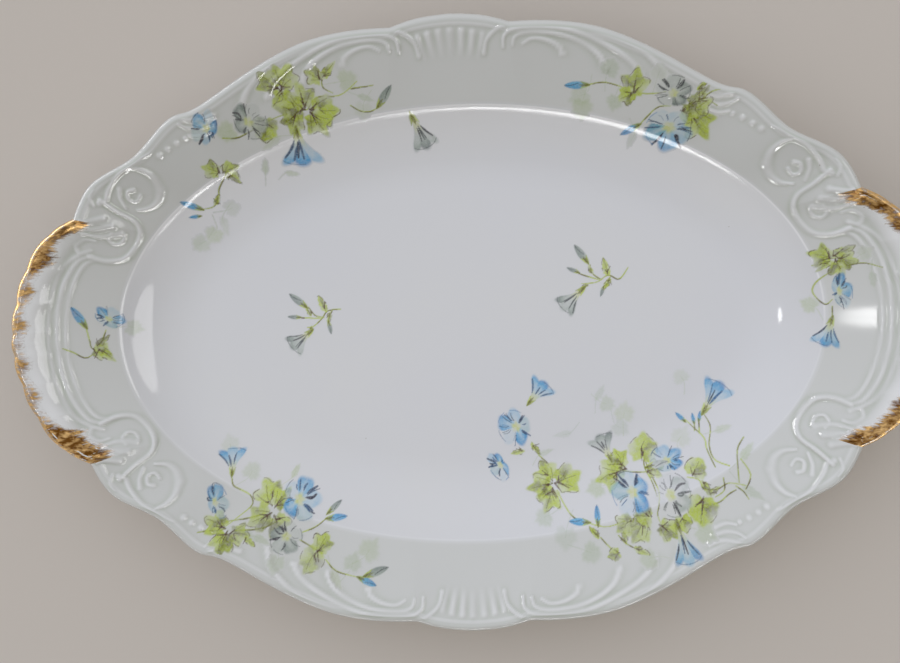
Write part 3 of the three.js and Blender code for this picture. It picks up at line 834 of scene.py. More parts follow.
# How bright the gold is, burnished and with a painted highlight on the lip's outer edge, and how
# well it covers, at each of those facings
GILT_LIP_BURNISH_AND_HIGHLIGHT = (0.5, 0.7, 0.9, 1, 1, 1, 0.8, 0.6)
GILT_LIP_COVER = (0.85, 0.9, 1, 1.2, 1.2, 1.2, 1, 1)
# How much further the gold reaches towards the ends of each handle, by the share of the way there
GILT_ENDS = {
    "left": SimpleNamespace(
        upper=((0.5, 0), (0.6, 1.6), (0.8, 2.6), (0.95, 3.4), (1.0, 2.0)),
        lower=((0.66, 0), (0.72, 0.8), (0.765, 9.5), (0.8, 10), (0.86, 8), (0.94, 6.5), (1.0, 4))),
    "right": SimpleNamespace(
        upper=((0.6, 0), (0.72, 2), (0.9, 5), (1.0, 3)),
        lower=((0.6, 0), (0.74, 2.4), (0.88, 5.5), (1.0, 3.5))),
}


def brush_noise(random, count, pitch):
    """Noise along the edge with about this many columns between its peaks."""
    knots = random.random(int(count / pitch) + 3)
    return np.interp(np.arange(count) / pitch, np.arange(len(knots)), knots)


class PLATTER_OT_brush_gold(bpy.types.Operator):
    """Brush gold over the edges of both handles, with ragged strokes and heavier ends"""

    bl_idname = "platter.brush_gold"
    bl_label = "Brush the gold"

    def execute(self, context):
        form = in_millimetres(context.scene.platter_sizes)
        material = worn_gilding(context.scene.platter_colours)
        for seed, (name, side) in enumerate((("left", -1), ("right", 1))):
            self.brush_side(form, material, name, side, np.random.default_rng(seed + 3))
        return {"FINISHED"}

    def brush_side(self, form, material, name, side, random):
        """Brushes one handle."""
        signed = np.linspace(side, -side, GILT_COLUMNS)
        samples = run_samples(EDGE_RUNS[0], np.abs(signed))
        share = np.degrees(samples[0]) / EDGE_RUNS[0].end
        upper = signed > 0
        samples[0] = np.where(upper, samples[0], -samples[0])
        if side < 0:
            samples = turned(samples, -1, math.pi)
        spokes = spokes_at(form, samples)
        # How far in the gold reaches: hairs and strokes of the brush, heavy patches on the ruffles,
        # and the ends
        teeth = brush_noise(random, GILT_COLUMNS, 1.6) ** 2
        strokes = brush_noise(random, GILT_COLUMNS, 7)
        patches = brush_noise(random, GILT_COLUMNS, 45)
        ruffle = 0.5 + 0.5 * np.cos(2 * math.pi * EDGE_RUNS[0].ruffles * share + 1.2)
        heavy = ruffle ** 1.5 * (0.35 + 0.9 * patches)
        ends = np.where(upper, np.interp(share, *zip(*GILT_ENDS[name].upper)),
                        np.interp(share, *zip(*GILT_ENDS[name].lower)))
        reach = form.lip_roll + form.gilt_width * (0.7 + 0.4 * strokes + 1.2 * heavy + 0.5 * teeth)
        reach = reach + ends * (0.85 + 0.2 * strokes)
        steps = np.linspace(0, 1, GILT_ROWS)[:, None]
        inset = reach * (1 - steps) + form.lip_roll * steps
        face, _ = rim_face(form, spokes, spokes.rim_width - inset)
        face[..., 2] += FILM_LIFT
        lip = [lip_face(form, spokes, facing, FILM_LIFT) for facing in GILT_FACINGS]
        points = np.concatenate([face, np.stack(lip)])
        # How bright the gold is and how well it covers, row by row
        bright = np.empty(points.shape[:2])
        bright[:GILT_ROWS] = 0.42 * brush_noise(random, GILT_COLUMNS, 14)
        bright[GILT_ROWS:] = np.array(GILT_LIP_BURNISH_AND_HIGHLIGHT)[:, None]
        dense = np.clip(0.1 + 0.95 * heavy + 0.25 * ends, 0, 1)
        hairs = 0.45 + 0.9 * brush_noise(random, GILT_COLUMNS, 1.3)
        cover = np.empty(points.shape[:2])
        cover[:GILT_ROWS] = smooth_step(0, 0.4 + 0.5 * (1 - dense), steps * hairs)
        cover[:GILT_ROWS] *= 0.35 + 0.7 * dense + 0.05 * ends
        cover[GILT_ROWS:] = np.array(GILT_LIP_COVER)[:, None]
        piece = lay_grid(f"brushed_gold_{name}", points,
                         {"gold_burnish_and_highlight": bright, "gold_cover": cover})
        thicken_film(piece)
        place_piece(piece, material, f"gilt_edge_{name}")


# The prints

# Millimetres: the grid's pitch, the room round the motifs, the height that a print is laid down
# from, and the widths of stems and fine lines
PRINT_PITCH = 0.32
PRINT_MARGIN = 22
LAID_FROM = 60
STEM_WIDTH = 0.75
FINE_LINE = 0.5
# Ink paler than this counts as none
BARE_INK = 0.97
WHITE = np.ones(3)
PETALS = 5
# Reach of a leaf's edge from its middle, by the angle from its tip in degrees
LEAF_FORMS = {
    "ivy": ((0, 30, 58, 95, 132, 180), (1.0, 0.66, 0.9, 0.58, 0.62, 0.3)),
    "heart": ((0, 20, 60, 100, 140, 180), (1.0, 0.82, 0.78, 0.78, 0.72, 0.38)),
    "slim": ((0, 12, 40, 90, 140, 180), (1.0, 0.72, 0.38, 0.3, 0.42, 0.62)),
}


def leaf_reach(kind, degrees):
    """Reach of a leaf's edge at turns from its tip, with rounded lobes."""
    angles, reach = LEAF_FORMS[kind]
    place = np.interp(np.abs(degrees), angles, np.arange(len(angles)))
    first = np.minimum(place.astype(int), len(angles) - 2)
    share = place - first
    share = 0.4 * share + 0.6 * smooth_step(0, 1, share)
    return np.take(reach, first) + (np.take(reach, first + 1) - np.take(reach, first)) * share


def heading_unit(degrees):
    """Unit vector in plan for a heading in degrees."""
    return np.array([math.cos(math.radians(degrees)), math.sin(math.radians(degrees))])


def trumpet_half(width, run):
    """Half width of a trumpet flower by the share of the way from its stem to its mouth."""
    return 0.5 * width * (0.09 + 0.91 * run ** 2.1)


def blend(first, second, share):
    """Colours part of the way from the first to the second."""
    return first + (second - first) * np.clip(share, 0, 1)[..., None]


def soft_noise(random, shape, pitch):
    """Seeded noise from 0 to 1 over a grid, with about this many points between its peaks."""
    knots = random.random((int(shape[0] / pitch) + 3, int(shape[1] / pitch) + 3))
    rows, columns = np.arange(shape[0]) / pitch, np.arange(shape[1]) / pitch
    row, column = rows.astype(int), columns.astype(int)
    down = smooth_step(0, 1, rows - row)[:, None]
    along = smooth_step(0, 1, columns - column)[None, :]
    upper = knots[row][:, column] * (1 - along) + knots[row][:, column + 1] * along
    lower = knots[row + 1][:, column] * (1 - along) + knots[row + 1][:, column + 1] * along
    return upper * (1 - down) + lower * down


class Sheet:
    """The inks of one print on a fine grid in plan, painted wash over wash."""

    def __init__(self, colours, low, high, seed):
        names = PlatterColours.__annotations__
        self.inks = SimpleNamespace(**{name: np.array(getattr(colours, name)) for name in names})
        self.random = np.random.default_rng(seed)
        self.x = np.arange(low[0], high[0], PRINT_PITCH)
        self.y = np.arange(low[1], high[1], PRINT_PITCH)
        shape = (len(self.y), len(self.x))
        self.ink = np.ones((*shape, 3))
        fine = soft_noise(self.random, shape, 1.1 / PRINT_PITCH)
        self.grain = 0.5 * fine + 0.5 * soft_noise(self.random, shape, 3.5 / PRINT_PITCH)

    def window(self, middle, reach):
        """The part of the sheet round a place, and its points measured from there."""
        columns = slice(*np.searchsorted(self.x, (middle[0] - reach, middle[0] + reach)))
        rows = slice(*np.searchsorted(self.y, (middle[1] - reach, middle[1] + reach)))
        across, up = np.meshgrid(self.x[columns] - middle[0], self.y[rows] - middle[1])
        return (rows, columns), np.stack([across, up], axis=-1)

    def wash(self, part, cover, colour):
        """Lays ink over a part of the sheet, thinner where the grain is light."""
        cover = np.clip(cover * (1.12 - 0.4 * self.grain[part]), 0, 1)[..., None]
        self.ink[part] += cover * (colour - self.ink[part])

    def stroke(self, knots, width, ink, start=0.5, end=0.2, strength=0.9):
        """A brush line that swells and thins. A line finer than the grid is painted fainter."""
        knots = np.asarray(knots, float)
        shares = np.linspace(0, 1, 3 * len(knots))
        path = spline(knots, shares)
        half = 0.5 * width * np.interp(shares, (0, 0.35, 1), (start, 1, end))
        middle = (path.min(axis=0) + path.max(axis=0)) / 2
        part, local = self.window(middle, np.ptp(path, axis=0).max() / 2 + width)
        points = local.reshape(-1, 2)
        wide = np.maximum(half, 0.6 * PRINT_PITCH)
        gap = stroke_gap(points, path - middle, wide).reshape(local.shape[:-1])
        thin = min(1.0, half.mean() / wide.mean())
        self.wash(part, strength * thin * (1 - smooth_step(0.55, 1.3, gap)), ink)

    def tints(self, tint):
        """Petal, shaded petal and pale inks of a flower."""
        inks = self.inks
        if tint == "blue":
            return inks.blue, inks.deep_blue, inks.pale_blue
        faded = blend(inks.grey, WHITE, 0.6)
        if tint == "grey":
            return inks.grey, inks.deep_grey, faded
        return faded, inks.grey, WHITE

    def motif_part(self, x, y, heading, reach):
        """A motif's place, its unit vectors ahead and aside, and its part of the sheet with points."""
        at = np.array([x, y])
        return at, heading_unit(heading), heading_unit(heading + 90), *self.window(at, reach)

    def stem(self, knots):
        """An olive stem, with brown on parts of it."""
        inks = self.inks
        ink = blend(inks.lime, inks.olive, self.random.random())
        self.stroke(knots, STEM_WIDTH, ink, 0.8, 0.6)
        for start in self.random.uniform(0, 0.7, 2):
            part = spline(knots, np.linspace(start, start + self.random.uniform(0.2, 0.4), 5))
            self.stroke(part + np.array([0.08, -0.14]), 0.8 * STEM_WIDTH, inks.brown, 0.5, 0.2)

    def leaf_part(self, x, y, length, heading, kind):
        """A leaf's part of the sheet: the share of the way to its edge and the turn from its tip."""
        ahead, aside = heading_unit(heading), heading_unit(heading + 90)
        part, local = self.window(np.array([x, y]) + 0.3 * length * ahead, 0.75 * length)
        turn = np.arctan2(local @ aside, local @ ahead)
        phase = self.random.uniform(0, 6.28, 3)
        rough = 1 + 0.06 * np.sin(5 * turn + phase[0]) + 0.05 * np.sin(11 * turn + phase[1])
        edge = 0.62 * length * leaf_reach(kind, np.degrees(turn)) * rough
        return part, np.linalg.norm(local, axis=-1) / edge, turn, phase[2]

    def shade(self, x, y, length, heading):
        """A faint leaf behind the spray, with no edge."""
        kind = "heart" if self.random.random() < 0.6 else "slim"
        part, step, _, _ = self.leaf_part(x, y, 1.05 * length, heading, kind)
        depth = self.random.uniform(0.25, 0.65)
        ink = blend(self.inks.shade, self.inks.lime, 0.3 * self.random.random())
        self.wash(part, depth * (1 - smooth_step(0.6, 1.08, step)), ink)
        base = np.array([x, y])
        back = base - heading_unit(heading + self.random.uniform(-50, 50)) * 0.7 * length
        tip = base + heading_unit(heading) * 0.4 * length
        self.stroke((back, base, tip), FINE_LINE, ink, 0.5, 0.3, 0.5)

    def leaf(self, x, y, length, heading, kind, tone):
        """A leaf with a light and a dark side, brown veins and a broken brown outline."""
        inks = self.inks
        part, step, turn, phase = self.leaf_part(x, y, length, heading, kind)
        lit = 1 if self.random.random() < 0.5 else -1
        grain = self.grain[part]
        # Green by tone, side and grain, with moss in the depths and pale lights near the edge
        mix = tone + 0.35 * lit * np.sin(turn) + 0.3 * np.sin(3 * turn + phase) + 1.5 * (grain - 0.5)
        mix = mix + 0.5 * (0.6 - step)
        body = blend(inks.lime, inks.olive, mix + 0.15)
        body = blend(body, inks.moss, 1.3 * (mix - 0.4))
        glow = np.cos(2 * turn + phase) * smooth_step(0.25, 0.8, step) * (1 - tone)
        body = blend(body, WHITE, 0.62 * np.clip(glow, 0, 1))
        depth = self.random.uniform(0.75, 1.05)
        self.wash(part, depth * (1 - smooth_step(0.84, 1.08, step)), body)
        # Veins, brown strokes at the root and pieces of outline
        base = np.array([x, y])
        middle = base + 0.3 * length * heading_unit(heading)
        for lobe in ((0, 58, -58) if kind == "ivy" else (0,)):
            reach = 0.5 * length * leaf_reach(kind, lobe) * self.random.uniform(0.5, 1.0)
            tip = middle + heading_unit(heading + lobe) * reach
            bend = (base + tip) / 2 + self.random.normal(0, 0.035 * length, 2)
            ink = blend(inks.moss, inks.brown, 0.8 * self.random.random())
            self.stroke((base, bend, tip), 0.04 * length, ink, 1.2, 0.1, 0.7)
        for turns in heading + self.random.uniform(-75, 75, 3):
            root = base + heading_unit(heading) * length * self.random.uniform(0, 0.2)
            tip = root + heading_unit(turns) * length * self.random.uniform(0.15, 0.4)
            self.stroke((root, tip), 0.055 * length, inks.brown, 1.2, 0.3, 1.0)
        for start in self.random.uniform(-140, 100, 3):
            turns = start + np.arange(0, 45, 9)
            reach = 0.6 * length * leaf_reach(kind, turns)
            line = [middle + heading_unit(heading + t) * r for t, r in zip(turns, reach)]
            ink = blend(inks.moss, inks.brown, self.random.uniform(0.4, 1))
            self.stroke(line, FINE_LINE, ink, 0.4, 0.2, 0.85)

    def flower(self, x, y, width, facing, squash, tint):
        """An open trumpet flower: five soft lobes, a pale ray in each, a cream throat, dark veins."""
        inks = self.inks
        petal, deep, pale = self.tints(tint)
        at, ahead, aside, part, local = self.motif_part(x, y, facing, 0.62 * width)
        # A flower that faces aside is squashed, and its throat is sunk back from its middle
        radius = 0.5 * width
        sunk = 0.3 * (1.15 - squash) * width
        along, across = local @ ahead / squash + sunk, local @ aside
        gap = np.maximum(np.hypot(along, across), 1e-6)
        toward = along / gap
        rim = sunk * toward + np.sqrt(np.maximum((sunk * toward) ** 2 - sunk ** 2 + radius ** 2, 0))
        turn = np.arctan2(across / gap * rim, toward * rim - sunk)
        # Petals, and the share of the way from the throat to their edge
        phase = self.random.uniform(0, 1.25)
        lobe = np.abs(np.cos(PETALS / 2 * (turn - phase)))
        edge = 0.7 + 0.28 * lobe ** 0.7 + 0.05 * np.sin(7 * turn + 5 * phase)
        step = gap / rim / edge
        number = np.floor((turn - phase) / (2 * math.pi / PETALS) + 0.5).astype(int) % PETALS
        # Each petal has its own depth of colour
        grain = self.grain[part]
        weight = self.random.permutation([0.0, 0.15, 0.45, 0.8, 1.0])[number]
        mix = weight * (0.45 + 0.75 * step) + 0.9 * (grain - 0.5)
        colour = blend(pale, petal, 0.1 + mix)
        colour = blend(colour, deep, 1.3 * (mix - 0.55) * smooth_step(0.3, 0.8, step))
        if tint == "blue":
            colour = blend(colour, inks.teal, 0.5 * (number == self.random.integers(PETALS)))
        colour = blend(colour, pale, 0.9 * lobe ** 6 * (1.1 - step))
        cup = blend(inks.cream, inks.lime, 0.25)
        colour = blend(colour, cup, 1 - smooth_step(0.14, 0.36, step))
        self.wash(part, (1 - smooth_step(0.84, 1.06, step)) * (0.6 + 0.5 * weight), colour)

        def on_edge(turn):
            return at + radius * (math.cos(turn) * squash * ahead + math.sin(turn) * aside)

        throat = at - sunk * squash * ahead
        seams = phase + (np.arange(PETALS) + 0.5) * 2 * math.pi / PETALS
        veins = np.concatenate([seams, seams, self.random.uniform(0, 2 * math.pi, 6)])
        # Veins are heavier on one side
        lee = self.random.uniform(0, 2 * math.pi)
        for turn in veins + self.random.normal(0, 0.12, len(veins)):
            heavy = 0.25 + 0.75 * math.cos((turn - lee) / 2) ** 2
            tip = on_edge(turn)
            low, high = self.random.uniform(0.26, 0.42), self.random.uniform(0.6, 0.96)
            line = [throat + share * (tip - throat) for share in (low, (low + high) / 2, high)]
            line[1] = line[1] + self.random.normal(0, 0.02 * width, 2)
            ink = blend(inks.dark, deep, 0.5 * self.random.random())
            self.stroke(line, heavy * self.random.uniform(0.03, 0.08) * width, ink, 0.25, 0.6, 1.0)
        for _ in range(3):
            turns = self.random.uniform(0, 6.28) + np.arange(0, 0.9, 0.18)
            line = [at + 0.88 * (on_edge(turn) - at) for turn in turns]
            ink = blend(inks.dark, deep, self.random.random())
            self.stroke(line, FINE_LINE, ink, 0.3, 0.2)

    def sepals(self, x, y, heading, size):
        """Small green leaves that hold a bud or a trumpet."""
        inks = self.inks
        base = np.array([x, y])
        for turn, ink in ((-26, inks.olive), (24, inks.lime), (0, inks.moss)):
            tip = base + heading_unit(heading + turn) * size
            back = base - heading_unit(heading) * 0.25 * size
            self.stroke((back, (base + tip) / 2, tip), 0.4 * size, ink, 0.5, 0.1)
        self.stroke((base, base + heading_unit(heading + 12) * 0.8 * size), 0.45, inks.brown, 0.8, 0.1)

    def trumpet(self, x, y, length, heading, width, tint):
        """A flower from the side: a cream tube that flares into a mouth of three folds."""
        inks = self.inks
        petal, deep, pale = self.tints(tint)
        reach = 1.3 * length + 0.2 * width
        at, ahead, aside, part, local = self.motif_part(x, y, heading, reach)
        along, across = local @ ahead / length, local @ aside
        side = across / trumpet_half(width, np.clip(along, 0, 1.2))
        mouth = 1 + 0.12 * np.abs(np.cos(1.5 * math.pi * side)) - 0.2 * side ** 2
        step = along / np.maximum(mouth, 0.3)
        grain = self.grain[part]
        tone = self.random.permutation([0.2, 0.65, 1.0])[np.clip((1.5 * side + 1.5).astype(int), 0, 2)]
        mix = smooth_step(0.3, 0.95, step) * tone + 0.7 * (grain - 0.5)
        colour = blend(pale, petal, mix + 0.5 * smooth_step(0.7, 1, step))
        colour = blend(colour, deep, 1.2 * (mix - 0.6) + 0.4 * smooth_step(0.8, 1, step))
        colour = blend(colour, inks.cream, (1 - smooth_step(0.2, 0.62, step)) * 0.9)
        cover = smooth_step(0, 0.06, along) * (1 - smooth_step(0.9, 1.04, step))
        self.wash(part, cover * (1 - smooth_step(0.88, 1.1, np.abs(side))), colour)

        def on_fold(run, share):
            return at + run * length * ahead + share * trumpet_half(width, run) * aside

        for share in self.random.choice((-0.85, -0.35, -0.25, 0.1, 0.36, 0.85), 4, replace=False):
            share = share + self.random.normal(0, 0.05)
            runs = np.linspace(self.random.uniform(0.3, 0.55), self.random.uniform(0.75, 0.9), 4)
            line = [on_fold(run, share) for run in runs]
            ink = blend(inks.dark, deep, 0.6 * self.random.random())
            self.stroke(line, self.random.uniform(0.03, 0.065) * width, ink, 0.3, 0.6, 1.0)
        shares = np.linspace(-0.85, self.random.uniform(0.0, 0.85), 5)
        rim = [on_fold(1.04 - 0.2 * share ** 2, share) for share in shares]
        self.stroke(rim, FINE_LINE, blend(inks.dark, deep, 0.5), 0.3, 0.3)
        self.sepals(x, y, heading, 0.3 * length)

    def bud(self, x, y, length, heading, tint):
        """A furled bud with a dark twist, held in sepals."""
        petal, deep, _ = self.tints(tint)
        at, ahead, aside, part, local = self.motif_part(x, y, heading, 1.1 * length)
        along, across = local @ ahead / length, local @ aside
        half = 0.17 * length * np.clip(np.sin(math.pi * (0.1 + 0.86 * along)), 0.05, 1) ** 0.8
        side = across / np.maximum(half, 0.25)
        colour = blend(petal, deep, 0.1 + 0.5 * along + 0.35 * side + self.grain[part] - 0.5)
        cover = smooth_step(0, 0.08, along) * (1 - smooth_step(0.92, 1.02, along))
        self.wash(part, cover * (1 - smooth_step(0.75, 1.15, np.abs(side))), colour)
        ink = blend(self.inks.dark, deep, 0.35)
        tip = at + length * ahead
        self.stroke((at + 0.4 * length * ahead - 0.08 * length * aside, at + 0.7 * length * ahead, tip),
                    0.05 * length, ink, 0.2, 0.6)
        self.sepals(x, y, heading, 0.34 * length)

    def trim(self, form):
        """Cuts the print back to the face of the rim."""
        spokes = whole_round(form, SPOKE_STEPS)
        inset = spokes.rim_width - form.lip_roll
        edge = spokes.shoulder + spokes.out * inset[:, None]
        across, up = np.meshgrid(self.x, self.y)
        turn = np.arctan2(edge[:, 1], edge[:, 0])
        reach = np.hypot(edge[:, 0], edge[:, 1])
        limit = np.interp(np.arctan2(up, across), turn, reach, period=2 * math.pi)
        self.ink[np.hypot(across, up) > limit] = 1

    def make_piece(self, name, glaze):
        """Lays the inked part of the sheet on the glaze as a thin film."""
        flat = at_height(np.stack(np.meshgrid(self.x, self.y), axis=-1), LAID_FROM)
        blank = (self.ink.min(axis=-1) > BARE_INK).astype(float)
        piece = lay_grid(name, flat, {"ink": self.ink, "blank": blank})
        mesh = piece.data
        empty = np.empty(len(mesh.vertices))
        mesh.attributes["blank"].data.foreach_get("value", empty)
        mesh.attributes.remove(mesh.attributes["blank"])
        corners = np.empty(len(mesh.loops), int)
        mesh.loops.foreach_get("vertex_index", corners)
        # Faces without any ink are deleted, and the rest drops onto the glaze
        bare = empty[corners.reshape(-1, 4)].min(axis=1) > 0.5
        bpy.context.tool_settings.mesh_select_mode = (False, False, True)
        bpy.ops.object.mode_set(mode="EDIT")
        bpy.ops.mesh.select_all(action="DESELECT")
        bpy.ops.object.mode_set(mode="OBJECT")
        mesh.polygons.foreach_set("select", bare)
        bpy.ops.object.mode_set(mode="EDIT")
        bpy.ops.mesh.delete(type="FACE")
        bpy.ops.object.mode_set(mode="OBJECT")
        add_modifier(piece, "SHRINKWRAP", target=glaze, wrap_method="PROJECT", use_project_z=True,
                     use_negative_direction=True, use_positive_direction=False)
        placed = vertex_places(mesh)
        if placed[:, 2].max() > BODY_HIGH.z:
            raise RuntimeError(f"{name} runs off the platter")
        placed[:, 2] += FILM_LIFT * MM
        mesh.vertices.foreach_set("co", placed.ravel())
        mesh.update()
        thicken_film(piece)
        return piece


